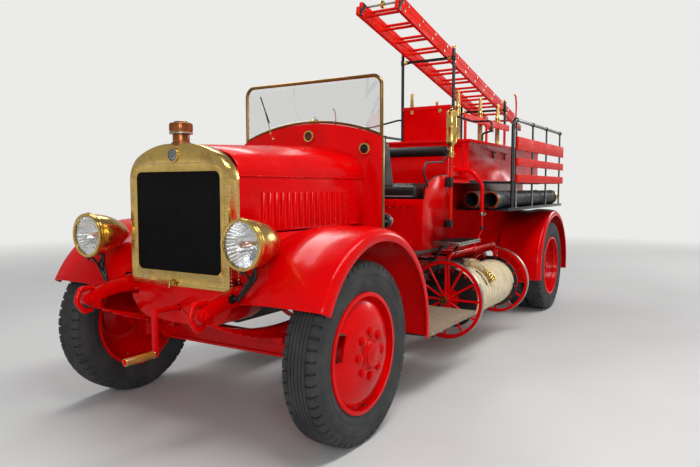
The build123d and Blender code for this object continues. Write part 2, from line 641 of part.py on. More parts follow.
def make_front_mudguard():
    """The left guard: crown spun round the wheel, tail, inner valance on the frame and along the bonnet."""
    cx, cz = GUARD_CENTRE
    front_a, rear_a = GUARD_LIP_A, 180.0
    section = guard_section(GUARD_OUT, 340, GUARD_R, GUARD_R - 130, 70)
    start = (cos(radians(front_a)), 0, sin(radians(front_a)))
    crown = spun((cx, 0, cz), (0, 1, 0), start, section, -(rear_a - front_a))
    low = [f for f in crown.faces() if abs(f.center().Z - cz) < 2 and f.center().X < cx - 300][0]
    drop = Solid.extrude(low, Vector(0, 0, -80))
    guard = fused(crown, drop)
    ahead, behind = [(x, bonnet_half(x) + 4) for x in (BONNET_FRONT_X + 60, BONNET_BACK_X - 60)]
    inside = slab("xy", 300, 1400, ahead, behind, (behind[0] - 300, 0), (ahead[0] + 300, 0),
                  (ahead[0] + 300, ahead[1]))
    guard = guard.cut(inside)
    guard = guard.cut(box((cx - 800, BULKHEAD_X + 2), (300, BULKHEAD_HALF + 4), (300, 1400)))
    guard = guard.cut(box((cx - 800, cx + 800), (300, RAIL_OUT + SEAT), (300, RAIL_TOP + SEAT)))
    guard = guard.cut(box((BONNET_FRONT_X - 4, cx + 800), (300, RADIATOR_HALF + 2), (300, 1400)))
    f, r = BONNET_FRONT_X - 4, BULKHEAD_X + 2
    hf, hr = bonnet_half(f), bonnet_half(r)
    valance = slab("xy", RAIL_TOP + SEAT, SIDE_PANEL_BOTTOM - 8, (f, hf + 4), (r, hr + 4), (r, hr), (f, hf))
    return solids_of(fused(guard, valance))


def make_rear_mudguard():
    """The left rear guard: the crown spun round the twin wheels, seated on the body's side."""
    x, z = REAR_AXLE_X, AXLE_Z
    section = guard_section(REAR_GUARD_OUT, CHEST_HALF + SEAT, REAR_GUARD_R, REAR_GUARD_R - 2, 70)
    a = 9.0
    start = (cos(radians(a)), 0, -sin(radians(a)))
    return spun((x, 0, z), (0, 1, 0), start, section, -(180.0 + 2 * a))


# Lamps

def make_headlamp():
    """The left lamp's bullet-shaped shell with its rolled rim."""
    t = 3.0
    bore, r, length = LENS_R + SEAT, LAMP_R, LAMP_LENGTH
    outside = [(bore, -2), (r - 3, -2), ((r, 8), (r - 3, 20)), (r - 5, 24), ((r - 12, 110), (74, 210)),
               ((48, 252), (26, length - 12)), (0.0, length)]
    inside = [(0.0, length - t), (24, length - 14 - t), ((46 - t, 250 - t), (72 - t, 208 - t)),
              ((r - 12 - t, 108), (bore, 26))]
    return spun((LAMP_X, LAMP_Y, LAMP_Z), (-1, 0, 0), (0, 0, 1), outside + inside)


def make_lens():
    """The left lamp's lens, slightly domed."""
    section = [(LENS_R, 4), (LENS_R, 10), (0.0, 6), (0.0, 0), ((LENS_R * 0.6, 0.6), (LENS_R, 4))]
    return spun((LAMP_X, LAMP_Y, LAMP_Z), (-1, 0, 0), (0, 0, 1), section)


def make_lamp_bracket():
    """A bent stem from the dumb iron's outer face to the lamp's underside."""
    x, y = LAMP_X - 103, LAMP_Y
    top = LAMP_Z - LAMP_R + 9.0 - SEAT
    foot_x, foot_z, seat = x + 35, 800, RAIL_OUT + SEAT
    bend = [(x, y, top), (x, y, top - 55), (foot_x, RAIL_OUT + 45, foot_z), (foot_x, seat, foot_z)]
    stem = tube(bend, 11, 18)
    pad = rod((foot_x, seat, foot_z), (foot_x, RAIL_OUT + 10, foot_z), 24)
    return fused(stem, pad)


# Cab

def make_cab_floor():
    """Deck and sloped toe board, bored for the steering column."""
    back, top = BULKHEAD_X - BULKHEAD_T - SEAT, RAIL_TOP + FLOOR_T
    deck = box((BODY_FRONT_X, back), (-CAB_HALF, CAB_HALF), (RAIL_TOP, top))
    toe = slab("xz", -560, 560, (back, top + 230), (back, top + 205), (back - 190, top), (back - 225, top))
    (fx, fz), (hx, hz) = COLUMN_FOOT, COLUMN_HEAD
    lean = (fx - hx) / (fz - hz)
    hole = rod((fx - lean * 200, WHEEL_Y, fz - 200), (fx + lean * 300, WHEEL_Y, fz + 300), COLUMN_R + SEAT)
    return fused(deck, toe).cut(hole)


def make_seat_frame():
    """Seat box with its back and shaped side boards."""
    z0, z1 = RAIL_TOP + FLOOR_T, SEAT_BOARD_Z
    f, b, t = SEAT_FRONT_X, SEAT_BACK_X, PANEL_T
    hollow = box((b + t, f - t), (-CAB_HALF + t, CAB_HALF - t), (z0 - 1, z1 - t))
    case = box((b, f), (-CAB_HALF, CAB_HALF), (z0, z1)).cut(hollow)
    back = box((b - t, b), (-CAB_HALF, CAB_HALF), (z0, BACK_TOP))
    middles = [s * (CAB_HALF - t / 2) for s in (1, -1)]
    sides = [slab("xz", y - t / 2, y + t / 2, (b, z1 - 2), (b, z1 + 190), (b + 130, z1 + 180),
                  ((b + 300, z1 + 150), (f - 60, z1 + 100)), (f - 40, z1 - 2)) for y in middles]
    panels = [box((f - 6, f + 1), (y - 250, y + 250), (z0 + 60, z1 - 60)) for y in (300, -300)]
    return fused(case, back, *sides).cut(*panels)


def make_seat_cushion():
    """The cushion's block with rounded long edges."""
    half = CAB_HALF - PANEL_T - SEAT
    length = (SEAT_BACK_X + SEAT, SEAT_FRONT_X + 28)
    block = box(length, (-half, half), (SEAT_BOARD_Z, SEAT_BOARD_Z + CUSHION_H))
    return fillet(block.edges().filter_by(Axis.Y), 30)


def make_leather_pads():
    """The back's roll and the padded wings behind the bulkhead."""
    x = SEAT_BACK_X - PANEL_T / 2
    roll = rod((x, -CAB_HALF, BACK_TOP + ROLL_R - 1), (x, CAB_HALF, BACK_TOP + ROLL_R - 1), ROLL_R)
    roll = roll.cut(box((x - 80, x + 80), (-CAB_HALF - 5, CAB_HALF + 5), (BACK_TOP - 40, BACK_TOP)))
    back = BULKHEAD_X - BULKHEAD_T - SEAT
    wing = slab("xz", BULKHEAD_HALF - 44, BULKHEAD_HALF,
                (back, 1345), (back, 1690), (back - 110, 1680), (back - 190, 1350))
    return solids_of(roll, wing, mirrored(wing))


def make_controls():
    """The steering column."""
    (fx, fz), (hx, hz) = COLUMN_FOOT, COLUMN_HEAD
    return rod((fx, WHEEL_Y, fz), (hx, WHEEL_Y, hz), COLUMN_R)


def make_steering_wheel():
    """Rim, hub and four spokes, square to the column."""
    (fx, fz), (hx, hz) = COLUMN_FOOT, COLUMN_HEAD
    axis = Vector(hx - fx, 0, hz - fz).normalized()
    out = Vector(0, 1, 0)
    origin = Vector(hx, WHEEL_Y, hz) + axis * (SEAT + 8)
    r = STEERING_WHEEL_R
    ring = [(r, 0), ((r - 14, 14), (r - 28, 0)), ((r - 14, -14), (r, 0))]
    rim = spun(tuple(origin), tuple(axis), tuple(out), ring)
    hub = spun(tuple(origin), tuple(axis), tuple(out), [(0.0, -8), (36, -8), (36, 14), (0.0, 22)])
    side = axis.cross(out)
    spokes = []
    for k in range(4):
        a = radians(45 + 90 * k)
        d = out * cos(a) + side * sin(a)
        spokes.append(rod(tuple(origin + d * 20), tuple(origin + d * (STEERING_WHEEL_R - 20)), 8))
    return fused(hub, rim, *spokes)


# Body

def make_body_box():
    """Chest between the racks, the deck over it and the upper box with its cornice."""
    t = PANEL_T
    deck_top, half = DECK_Z + DECK_T, CHEST_HALF - t
    chest = box((BODY_REAR_X, BODY_FRONT_X), (-CHEST_HALF, CHEST_HALF), (RAIL_TOP, DECK_Z))
    chest = chest.cut(box((BODY_REAR_X + t, BODY_FRONT_X - t), (-half, half), (RAIL_TOP - 1, DECK_Z + 1)))
    deck = box((BODY_REAR_X, BODY_FRONT_X), (-DECK_HALF, DECK_HALF), (DECK_Z, deck_top))
    upper = box((BODY_REAR_X, BOX_FRONT_X), (-BOX_HALF, BOX_HALF), (deck_top, BOX_TOP))
    hollow = box((BODY_REAR_X - 1, BOX_FRONT_X - t), (-BOX_HALF + t, BOX_HALF - t), (deck_top, BOX_TOP - t))
    cornice = box((BODY_REAR_X, BOX_FRONT_X + 14), (-BOX_HALF - 14, BOX_HALF + 14), (BOX_TOP - 22, BOX_TOP))
    return fused(chest, deck, upper, cornice).cut(hollow)


def make_rear_door():
    """The tailboard, inside the upper box's open rear."""
    t = PANEL_T
    back, half = BODY_REAR_X + 2, BOX_HALF - t - RUN
    return box((back, back + t), (-half, half), (DECK_Z + DECK_T + SEAT, BOX_TOP - t - RUN))


def make_top_locker():
    """The locker on the box with its lid."""
    x0, x1 = TOP_LOCKER_X
    body = box((x1, x0), (-TOP_LOCKER_HALF, TOP_LOCKER_HALF), (BOX_TOP, TOP_LOCKER_TOP))
    half = TOP_LOCKER_HALF + 6
    lid = box((x1 - 6, x0 + 6), (-half, half), (TOP_LOCKER_TOP - 2, TOP_LOCKER_TOP + 20))
    return fused(body, lid)


def make_side_rack():
    """The left rack: shelf on the chest, flat posts, a bent top rail and stays to the deck."""
    x0, x1 = SHELF_X
    y = RACK_Y
    z0 = SHELF_TOP - SHELF_T
    shelf = box((x1, x0), (CHEST_HALF + SEAT, y + 15), (z0, SHELF_TOP))
    posts = [box((x - 19, x + 19), (y - 5, y + 5), (z0, RACK_RAIL_Z)) for x in RACK_POST_X]
    front = RACK_POST_X[0] + 100
    rail = tube([(front, y, z0 + 10), (front, y, RACK_RAIL_Z), (x1 + 60, y, RACK_RAIL_Z)], 15, 80)
    stays = [box((x - 15, x + 15), (DECK_HALF + SEAT, y), (DECK_Z + 4, DECK_Z + 16)) for x in RACK_POST_X]
    return fused(shelf, rail, *posts, *stays)


def make_rack_planks():
    """Planks on both racks and the two rails on the roof."""
    y = RACK_Y + 5 + SEAT
    planks = [box((RACK_POST_X[-1] - 80, RACK_POST_X[0] + 20), (y, y + 20), row) for row in PLANK_ROWS]
    across = (ROOF_RAIL_Y - 10, ROOF_RAIL_Y + 10)
    posts = [box((x - 15, x + 15), across, (BOX_TOP, 2040)) for x in (-800, -1430, -2060)]
    rail = box((-2210, -760), across, (2025, 2095))
    roof = fused(rail, *posts)
    return solids_of(*planks, *[mirrored(p) for p in planks], roof, mirrored(roof))


def make_suction_hoses():
    """Two stiff suction hoses a side, with open bores at the front."""
    z = SHELF_TOP + HOSE_R + SEAT
    hoses = []
    for y in HOSE_ROWS:
        hose = rod((HOSE_X[1], y, z), (HOSE_X[0], y, z), HOSE_R)
        bore = rod((HOSE_X[0] - 20, y, z), (HOSE_X[0] + 1, y, z), HOSE_R - 15)
        hoses.append(hose.cut(bore))
    return solids_of(*hoses, *[mirrored(h) for h in hoses])


def make_branch_pipes():
    """Six branch pipes on the roof, tapered to their nozzles."""
    section = [(0.0, 0.0), (32, 0), (32, 60), (24, 70), (20, 300), (14, 520), (17, 524), (17, 545),
               (0.0, 545)]
    places = [(x, y, BOX_TOP) for x in (-725, -1360, -1940) for y in (252, -252)]
    return solids_of(*[spun(foot, (0, 0, 1), (1, 0, 0), section) for foot in places])


def make_torch():
    """The left torch: staff in two clips on the body, brass head over a drip cup."""
    x, y = 440.0, 664.0
    staff = rod((x, y, 1040), (x, y, 1700), 14)
    head = spun((x, y, 1600), (0, 0, 1), (1, 0, 0), [
        (0.0, 0), (22, 0), (22, 90), (30, 100), (46, 118), (46, 360), (30, 376), (12, 384), (0.0, 384)])
    clips = [box((x - 25, x + 25), (CAB_HALF + SEAT, y), (z, z + 50)) for z in (1080, 1400)]
    return fused(staff, head, *clips)


# Ladder and gantry

def ladder_z(x):
    """Height of the ladder's underside at x."""
    return LADDER_REF[1] + (x - LADDER_REF[0]) * tan(radians(LADDER_TILT))


def ladder_section(x0, x1, half, height, lift, rung_from):
    """A ladder lying along the slope between x0 (high) and x1 (low), lifted off the underside line."""
    n = (-sin(radians(LADDER_TILT)), cos(radians(LADDER_TILT)))

    def corner(x, up):
        """The point over x on the underside line, raised square to the slope."""
        return (x + n[0] * up, ladder_z(x) + n[1] * up)

    w = LADDER_RAIL_W / 2
    corners = (corner(x0, lift), corner(x1, lift), corner(x1, lift + height), corner(x0, lift + height))
    rails = [slab("xz", s * (half - w) - w, s * (half - w) + w, *corners) for s in (1, -1)]
    rungs = []
    length = (x0 - x1) / cos(radians(LADDER_TILT))
    count = int((length - 2 * rung_from) / RUNG_PITCH) + 1
    for k in range(count):
        s = rung_from + k * RUNG_PITCH
        x = x0 - s * cos(radians(LADDER_TILT))
        cx, cz = corner(x, lift + height / 2)
        rungs.append(rod((cx, -half + 10, cz), (cx, half - 10, cz), RUNG_R))
    return fused(rails[0], rails[1], *rungs)


def make_ladder_base():
    """The lower ladder on the gantry's bars."""
    tail = LADDER_REAR_X + LADDER_RAIL_H * sin(radians(LADDER_TILT))
    return ladder_section(LADDER_FRONT_X, tail, LADDER_HALF, LADDER_RAIL_H, SEAT, 130.0)


def make_ladder_fly():
    """The upper ladder, on the lower one's rails."""
    front, rear, lift = LADDER_FRONT_X - 40, LADDER_REAR_X + 260, LADDER_RAIL_H + 2 * SEAT
    return ladder_section(front, rear, LADDER_HALF, FLY_RAIL_H, lift, 150.0)


def make_gantry():
    """Two frames of posts, each with a crossbar under the ladder."""
    parts = []
    for x, top in ((-550.0, 2715.0), (-2150.0, 2395.0)):
        bar_z = ladder_z(x) - 13 / cos(radians(LADDER_TILT))
        posts = [rod((x, s * 272, BOX_TOP), (x, s * 272, top), 15) for s in (1, -1)]
        bar = rod((x, -272, bar_z), (x, 272, bar_z), 13)
        feet = [box((x - 40, x + 40), (s * 272 - 26, s * 272 + 26), (BOX_TOP, BOX_TOP + 10)) for s in (1, -1)]
        parts.append(fused(bar, *posts, *feet))
    return solids_of(*parts)


# Steps, reels, pump, apron

def make_step_irons():
    """Left irons: the chequered tread on its brackets and the two hangers of the slatted step."""
    tread = box(TREAD_X, TREAD_Y, (TREAD_Z - 22, TREAD_Z))
    low, seat = TREAD_Z - 22, RAIL_OUT + SEAT
    bend = ((seat, 800), (CAB_HALF + 20, 800), (710, low), (TREAD_Y[1] - 20, low))
    arms = [tube([(x, y, z) for y, z in bend], 11, 40) for x in (340, 690)]
    upper = fused(tread, *arms)
    under = SLAT_STEP_Z - 30 - 13 - SEAT
    drop = ((seat, 770), (500, 770), (560, under), (SLAT_STEP_Y[1] - 10, under))
    hangers = [tube([(x, y, z) for y, z in drop], 13, 30) for x in (850, 1480)]
    return solids_of(upper, *hangers)


def make_slatted_step():
    """The left slatted step on its two bearers."""
    x0, x1 = SLAT_STEP_X
    y0, y1 = SLAT_STEP_Y
    z = SLAT_STEP_Z
    bearers = [box((x0, x1), (y, y + 40), (z - 30, z - 18)) for y in (y0, y1 - 40)]
    count = 18
    pitch = (x1 - x0) / count
    starts = [x0 + k * pitch for k in range(count)]
    slats = [box((x, x + 26), (y0, y1), (z - 20, z)) for x in starts]
    return fused(bearers[0], bearers[1], *slats)


def make_reel_hanger():
    """The left hanger: a tube over the drum, a leg and eye at each end, arms to the frame, davit and link."""
    y, z = REEL_Y, REEL_Z
    top = REEL_TUBE_Z
    front, rear = REEL_LEG_X
    hoop = tube([(front, y, z + 26), (front, y, top), (rear, y, top), (rear, y, z + 26)], REEL_TUBE_R, 50)
    eyes = [rod((x - 12, y, z), (x + 12, y, z), 34) for x in REEL_LEG_X]
    arms = [rod((x, RAIL_OUT + SEAT, top), (x, y, top), 13) for x in (480, -400)]
    link_x = 60.0
    davit = tube([(link_x, 560, 1510), (link_x, 700, 1500), (link_x, 790, 1380), (link_x, 790, 1130)], 17, 90)
    stub = rod((BOX_FRONT_X + SEAT, 560, 1510), (link_x + 17, 560, 1510), 20)
    link = tube([(link_x, 790, 1140), (link_x, 790, 1000), (link_x, y, top)], 9, 60)
    frame = fused(hoop, *eyes, *arms, davit, stub, link)
    return frame.cut(rod((rear - 20, y, z), (front + 20, y, z), REEL_SHAFT_R + SEAT))


def make_reel_wheel(x):
    """One spoked wheel of the left reel at x: rim, hub and spokes."""
    y, z = REEL_Y, REEL_Z
    h, r = REEL_WHEEL_T / 2, REEL_WHEEL_R
    rim = spun((x, y, z), (1, 0, 0), (0, 0, 1), [(r - 26, -h), (r, -h), (r, h), (r - 26, h)])
    hub = rod((x - 28, y, z), (x + 28, y, z), 42)
    angles = [2 * pi * k / REEL_SPOKES for k in range(REEL_SPOKES)]
    spokes = [rod((x, y, z), (x, y + (r - 20) * cos(a), z + (r - 20) * sin(a)), 9) for a in angles]
    return [rim, hub, *spokes]


def make_reel():
    """The left reel: spoked wheels, flanges and core on one shaft."""
    y, z = REEL_Y, REEL_Z
    ends = (REEL_WHEEL_X[1] - 45, REEL_WHEEL_X[0] + 45)
    shaft = rod((ends[0], y, z), (ends[1], y, z), REEL_SHAFT_R)
    front, rear = REEL_FLANGE_X
    core = rod((rear, y, z), (front, y, z), REEL_CORE_R)
    spans = ((front, front - REEL_FLANGE_T), (rear, rear + REEL_FLANGE_T))
    flanges = [rod((a, y, z), (b, y, z), REEL_FLANGE_R) for a, b in spans]
    wheels = [piece for x in REEL_WHEEL_X for piece in make_reel_wheel(x)]
    return fused(shaft, core, *flanges, *wheels)


def make_reel_hose():
    """The left reel's wound hose as one roll between the flanges."""
    y, z = REEL_Y, REEL_Z
    front, rear = REEL_FLANGE_X
    low, high = rear + REEL_FLANGE_T + SEAT, front - REEL_FLANGE_T - SEAT
    bore, length = REEL_CORE_R + SEAT, high - low
    section = [(bore, 0), (REEL_HOSE_R, 0), (REEL_HOSE_R, length), (bore, length)]
    return spun((low, y, z), (1, 0, 0), (0, 0, 1), section)


def make_pump():
    """Plain pump casing and nose on arms to the frame, with the cross header and its valves."""
    x0, x1 = 410.0, 560.0
    z = RAIL_BOTTOM + 10
    casing = rod((x0, 0, z), (x1, 0, z), 100)
    reach = RAIL_OUT - RAIL_T - SEAT
    arms = [box((x, x + 40), (-reach, reach), (z + 70, z + 86)) for x in (x0 + 10, x1 - 50)]
    nose = rod((x1 - 5, 0, z), (x1 + 70, 0, z), 60)
    x = (x0 + x1) / 2
    low = RAIL_BOTTOM - 36
    header = rod((x, -535, low), (x, 535, low), 28)
    valves = [rod((x, s * 530, low - 34), (x, s * 530, low + 110), 32) for s in (1, -1)]
    return fused(casing, nose, header, *arms, *valves)


def make_apron():
    """The rounded apron under the radiator, bored for the starting handle."""
    t = 5.0
    half = RAIL_OUT - RAIL_FLANGE - 10
    f, b = RADIATOR_FRONT_X - 2, 2440.0
    low = 610.0

    def rounded(top, inset):
        """The apron's outline from its top edge round the curved bottom, drawn in by inset."""
        h, corner = half - inset, 650 + inset
        return [(h, top), (-h, top), (-h, 740), ((-half + 70 + inset, corner), (-170, low + 8 + inset)),
                ((0, low + inset), (170, low + 8 + inset)), ((half - 70 - inset, corner), (h, 740))]

    face = slab("yz", b, f, *rounded(746, 0))
    plate = box((f - t, f), (-330, 330), (740, RADIATOR_BOTTOM - SEAT))
    hole = rod((b, 0, CRANK_Z), (f + 5, 0, CRANK_Z), 13 + RUN)
    return fused(face.cut(slab("yz", b - 1, f - t, *rounded(RAIL_TOP, t))), plate).cut(hole)


def make_crank():
    """The starting handle: shaft, arm and grip."""
    back = ENGINE_FRONT_X + SEAT
    arm_x = 2880.0
    shaft = rod((back, 0, CRANK_Z), (arm_x + 12, 0, CRANK_Z), 13)
    arm = box((arm_x - 8, arm_x + 12), (-15, 15), (CRANK_Z - 240, CRANK_Z + 20))
    handle = rod((arm_x, 0, CRANK_Z - 225), (CRANK_TIP_X, 0, CRANK_Z - 225), 17)
    return fused(shaft, arm, handle)


def save(name, shape):
    """Writes one node's STEP file."""
    export_step(shape, f"parts/{name}.step")


def main():
    """Builds every node and writes its file."""
    os.makedirs("parts", exist_ok=True)
    left = {
        "knuckle": make_knuckle(),
        "front_tyre": tyre(FRONT_TYRE_Y, FRONT_TYRE_W, FRONT_AXLE_X),
        "front_wheel": make_front_wheel(),
        "rear_wheel": make_rear_wheel(),
        "bonnet_side": make_bonnet_side(),
        "reel": make_reel(),
        "reel_hose": make_reel_hose(),
    }
    for name, shape in left.items():
        save(f"{name}_left", shape)
        save(f"{name}_right", mirrored(shape))
    twins = [tyre(y, REAR_TYRE_W, REAR_AXLE_X) for y in (REAR_OUTER_Y, REAR_OUTER_Y - TWIN_PITCH)]
    save("rear_tyres_left", solids_of(*twins))
    save("rear_tyres_right", solids_of(*[mirrored(t) for t in twins]))
    both = {
        "front_mudguards": make_front_mudguard(),
        "rear_mudguards": make_rear_mudguard(),
        "headlamps": make_headlamp(),
        "headlamp_lenses": make_lens(),
        "lamp_brackets": make_lamp_bracket(),
        "side_racks": make_side_rack(),
        "torches": make_torch(),
        "step_irons": make_step_irons(),
        "slatted_steps": make_slatted_step(),
        "reel_hangers": make_reel_hanger(),
    }
    for name, shape in both.items():
        save(name, solids_of(shape, mirrored(shape)))
    single = {
        "frame": make_frame(),
        "front_axle": make_front_axle(),
        "tie_rod": make_tie_rod(),
        "rear_axle": make_rear_axle(),
        "leaf_springs": make_leaf_springs(),
        "engine": make_engine(),
        "radiator_shell": make_radiator_shell(),
        "radiator_core": make_radiator_core(),
        "bonnet_top": make_bonnet_top(),
        "scuttle": make_scuttle(),
        "windscreen_frame": make_windscreen_frame(),
        "windscreen_glass": make_windscreen_glass(),
        "cab_floor": make_cab_floor(),
        "seat_frame": make_seat_frame(),
        "seat_cushion": make_seat_cushion(),
        "leather_pads": make_leather_pads(),
        "controls": make_controls(),
        "steering_wheel": make_steering_wheel(),
        "body_box": make_body_box(),
        "rear_door": make_rear_door(),
        "top_locker": make_top_locker(),
        "rack_planks": make_rack_planks(),
        "suction_hoses": make_suction_hoses(),
        "branch_pipes": make_branch_pipes(),
        "ladder_base": make_ladder_base(),
        "ladder_fly": make_ladder_fly(),
        "ladder_gantry": make_gantry(),
        "pump": make_pump(),
        "apron": make_apron(),
        "starting_crank": make_crank(),
    }
    for name, shape in single.items():
        save(name, shape)


if __name__ == "__main__":
    main()
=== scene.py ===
"""Looks of an open-cab motor fire engine of the 1920s: finishes, fittings, treads, leather and hose.

Metres, in the vehicle's own frame: +X forward, +Y the vehicle's left, +Z up, the ground at Z = 0.
"""

import logging
from collections.abc import Callable, Iterable
from dataclasses import dataclass, field
from enum import Enum
from math import atan2, cos, degrees, hypot, pi, radians, sin, tan

import bmesh
import bpy
from mathutils import Matrix, Vector
from mathutils.bvhtree import BVHTree

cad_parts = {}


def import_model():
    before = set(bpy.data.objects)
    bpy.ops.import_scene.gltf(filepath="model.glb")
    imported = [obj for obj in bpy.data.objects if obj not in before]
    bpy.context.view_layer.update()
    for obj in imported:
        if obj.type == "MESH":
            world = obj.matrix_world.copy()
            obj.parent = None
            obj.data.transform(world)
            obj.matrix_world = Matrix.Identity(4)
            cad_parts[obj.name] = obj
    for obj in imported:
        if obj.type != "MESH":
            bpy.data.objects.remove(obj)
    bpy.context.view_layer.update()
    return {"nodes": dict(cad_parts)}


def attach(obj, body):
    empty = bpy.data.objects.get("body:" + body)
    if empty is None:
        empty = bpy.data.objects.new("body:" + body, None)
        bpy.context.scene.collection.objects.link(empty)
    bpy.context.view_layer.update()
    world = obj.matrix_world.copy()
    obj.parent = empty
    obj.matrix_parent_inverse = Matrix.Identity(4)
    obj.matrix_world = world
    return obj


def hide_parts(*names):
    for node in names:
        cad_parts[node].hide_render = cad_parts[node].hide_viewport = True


log = logging.getLogger("fire_engine")

Point = tuple[float, float, float] | Vector
Flat = tuple[float, float]
Tree = bpy.types.NodeTree
Socket = bpy.types.NodeSocket
Mesh = bmesh.types.BMesh
MM = 0.001
# Points closer than this are one point
TOUCH = 1e-6
# The least rounding of a hoop, which keeps the points of its outline apart
LEAST_EDGE = 1e-5
# A line that turns by less than this, in radians, runs straight on
STRAIGHT = 1e-3
# Runs across each rounded corner of a pipe
BEND_STEPS = 6
# Edges over this angle stay crisp
SHARP_ANGLE = radians(32)
AHEAD, ACROSS, UP, BACK = (1.0, 0.0, 0.0), (0.0, 1.0, 0.0), (0.0, 0.0, 1.0), (-1.0, 0.0, 0.0)
# Smudges of the gloss are this share of the colour's clouds
SMUDGE_SHARE = 0.62
# Bands of the wave texture that one unit of its scale gives
WAVE_BANDS = 6.28
COAT_ROUGHNESS = 0.04


class Plane(Enum):
    """The plane an outline is drawn in, as its first, second and normal axes."""

    XY = (0, 1, 2)
    XZ = (0, 2, 1)
    YZ = (1, 2, 0)


class Side(Enum):
    """A side of the vehicle: the sign of Y there."""

    LEFT = 1
    RIGHT = -1

    @property
    def word(self) -> str:
        """The word used in names."""
        return self.name.lower()


# Finishes


def linear(code: str) -> tuple[float, float, float, float]:
    """Turns an sRGB hex colour into linear red, green, blue and alpha.

    Args:
        code: the colour as "#RRGGBB".

    Returns:
        The linear colour, opaque.
    """
    parts = [int(code[i : i + 2], 16) / 255 for i in (1, 3, 5)]
    red, green, blue = (c / 12.92 if c <= 0.04045 else ((c + 0.055) / 1.055) ** 2.4 for c in parts)
    return red, green, blue, 1.0


def add_node(tree: Tree, kind: str, links: dict | None = None, **settings) -> bpy.types.Node:
    """Adds a node with its settings, and its inputs' values and links.

    Args:
        tree: the node tree that takes it.
        kind: the node's type name.
        links: a value or another node's output for each named or numbered input.
        settings: the node's own properties.

    Returns:
        The new node.
    """
    node = tree.nodes.new(kind)
    for key, value in settings.items():
        setattr(node, key, value)
    for socket, value in (links or {}).items():
        if isinstance(value, Socket):
            tree.links.new(value, node.inputs[socket])
        else:
            node.inputs[socket].default_value = value
    return node


@dataclass(frozen=True)
class Finish:
    """A real material and how its surface was made, with the variation its nodes draw."""

    name: str
    colour: str
    worn: str
    roughness: tuple[float, float]
    metallic: float = 0.0
    mottle_mm: float = 300.0
    grain_mm: float = 4.0
    grain_depth_mm: float = 0.05
    coat: float = 0.0
    sheen: float = 0.0
    transmission: float = 0.0
    ior: float = 1.5
    specular: float = 0.5
    alpha: float = 1.0
    worn_share: tuple[float, float] = (0.35, 0.8)

    @property
    def grains(self) -> float:
        """Grains to a metre, which is the scale of a texture."""
        return 1 / (self.grain_mm * MM)

    @property
    def clouds(self) -> float:
        """Clouds of the worn colour to a metre."""
        return 1 / (self.mottle_mm * MM)

    def height(self, tree: Tree, where: Socket) -> Socket:
        """The fine relief of the surface, from 0 to 1; a plain finish has soft grain."""
        grain = add_node(tree, "ShaderNodeTexNoise", {"Vector": where, "Scale": self.grains, "Detail": 3.0})
        return grain.outputs[0]

    def tint(self, tree: Tree, where: Socket) -> Socket:
        """How far the colour leans to the worn one at each point.

        Args:
            tree: the material's nodes.
            where: the point in object coordinates.

        Returns:
            The share, from 0 to 1.
        """
        cloud = add_node(
            tree, "ShaderNodeTexNoise",
            {"Vector": where, "Scale": self.clouds, "Detail": 5.0, "Roughness": 0.6},
        )
        low, high = self.worn_share
        share = add_node(
            tree, "ShaderNodeMapRange", {"Value": cloud.outputs[0], "From Min": low, "From Max": high}
        )
        return share.outputs["Result"]

    def material(self) -> bpy.types.Material:
        """The finish as a Blender material, made once.

        Returns:
            The material of this name.
        """
        found = bpy.data.materials.get(self.name)
        if found:
            return found
        made = bpy.data.materials.new(self.name)
        made.use_nodes = True
        tree = made.node_tree
        shader = tree.nodes["Principled BSDF"]
        where = add_node(tree, "ShaderNodeTexCoord").outputs["Object"]
        tint = self.tint(tree, where)
        colour = add_node(
            tree, "ShaderNodeMix", {"Factor": tint, "A": linear(self.colour), "B": linear(self.worn)},
            data_type="RGBA",
        )
        tree.links.new(colour.outputs["Result"], shader.inputs["Base Color"])
        smudges = {"Vector": where, "Scale": self.clouds / SMUDGE_SHARE, "Detail": 4.0}
        smudge = add_node(tree, "ShaderNodeTexNoise", smudges)
        low, high = self.roughness
        rough = add_node(
            tree, "ShaderNodeMapRange",
            {"Value": smudge.outputs[0], "From Min": 0.35, "From Max": 0.7, "To Min": low, "To Max": high},
        )
        tree.links.new(rough.outputs["Result"], shader.inputs["Roughness"])
        bump = add_node(
            tree, "ShaderNodeBump",
            {"Height": self.height(tree, where), "Distance": self.grain_depth_mm * MM, "Strength": 1.0},
        )
        tree.links.new(bump.outputs["Normal"], shader.inputs["Normal"])
        for socket, value in (
            ("Metallic", self.metallic),
            ("IOR", self.ior),
            ("Coat Weight", self.coat),
            ("Sheen Weight", self.sheen),
            ("Transmission Weight", self.transmission),
            ("Specular IOR Level", self.specular),
            ("Alpha", self.alpha),
        ):
            shader.inputs[socket].default_value = value
        if self.coat:
            shader.inputs["Coat Roughness"].default_value = COAT_ROUGHNESS
        return made


@dataclass(frozen=True)
class Grained(Finish):
    """Timber: long rings and pores drawn out along X."""

    stretch: float = 18.0

    def rings(self, tree: Tree, where: Socket) -> Socket:
        """Noise stretched along the grain."""
        long = add_node(tree, "ShaderNodeMapping", {"Vector": where, "Scale": (1 / self.stretch, 1.0, 1.0)})
        drawn = {"Vector": long.outputs["Vector"], "Scale": self.grains, "Detail": 4.0}
        return add_node(tree, "ShaderNodeTexNoise", drawn).outputs[0]

    def height(self, tree: Tree, where: Socket) -> Socket:
        """Pores along the grain."""
        return self.rings(tree, where)

    def tint(self, tree: Tree, where: Socket) -> Socket:
        """Darker rings.

        Args:
            tree: the material's nodes.
            where: the point in object coordinates.

        Returns:
            The share, from 0 to 1.
        """
        low, high = self.worn_share
        rings = self.rings(tree, where)
        share = add_node(tree, "ShaderNodeMapRange", {"Value": rings, "From Min": low, "From Max": high})
        return share.outputs["Result"]


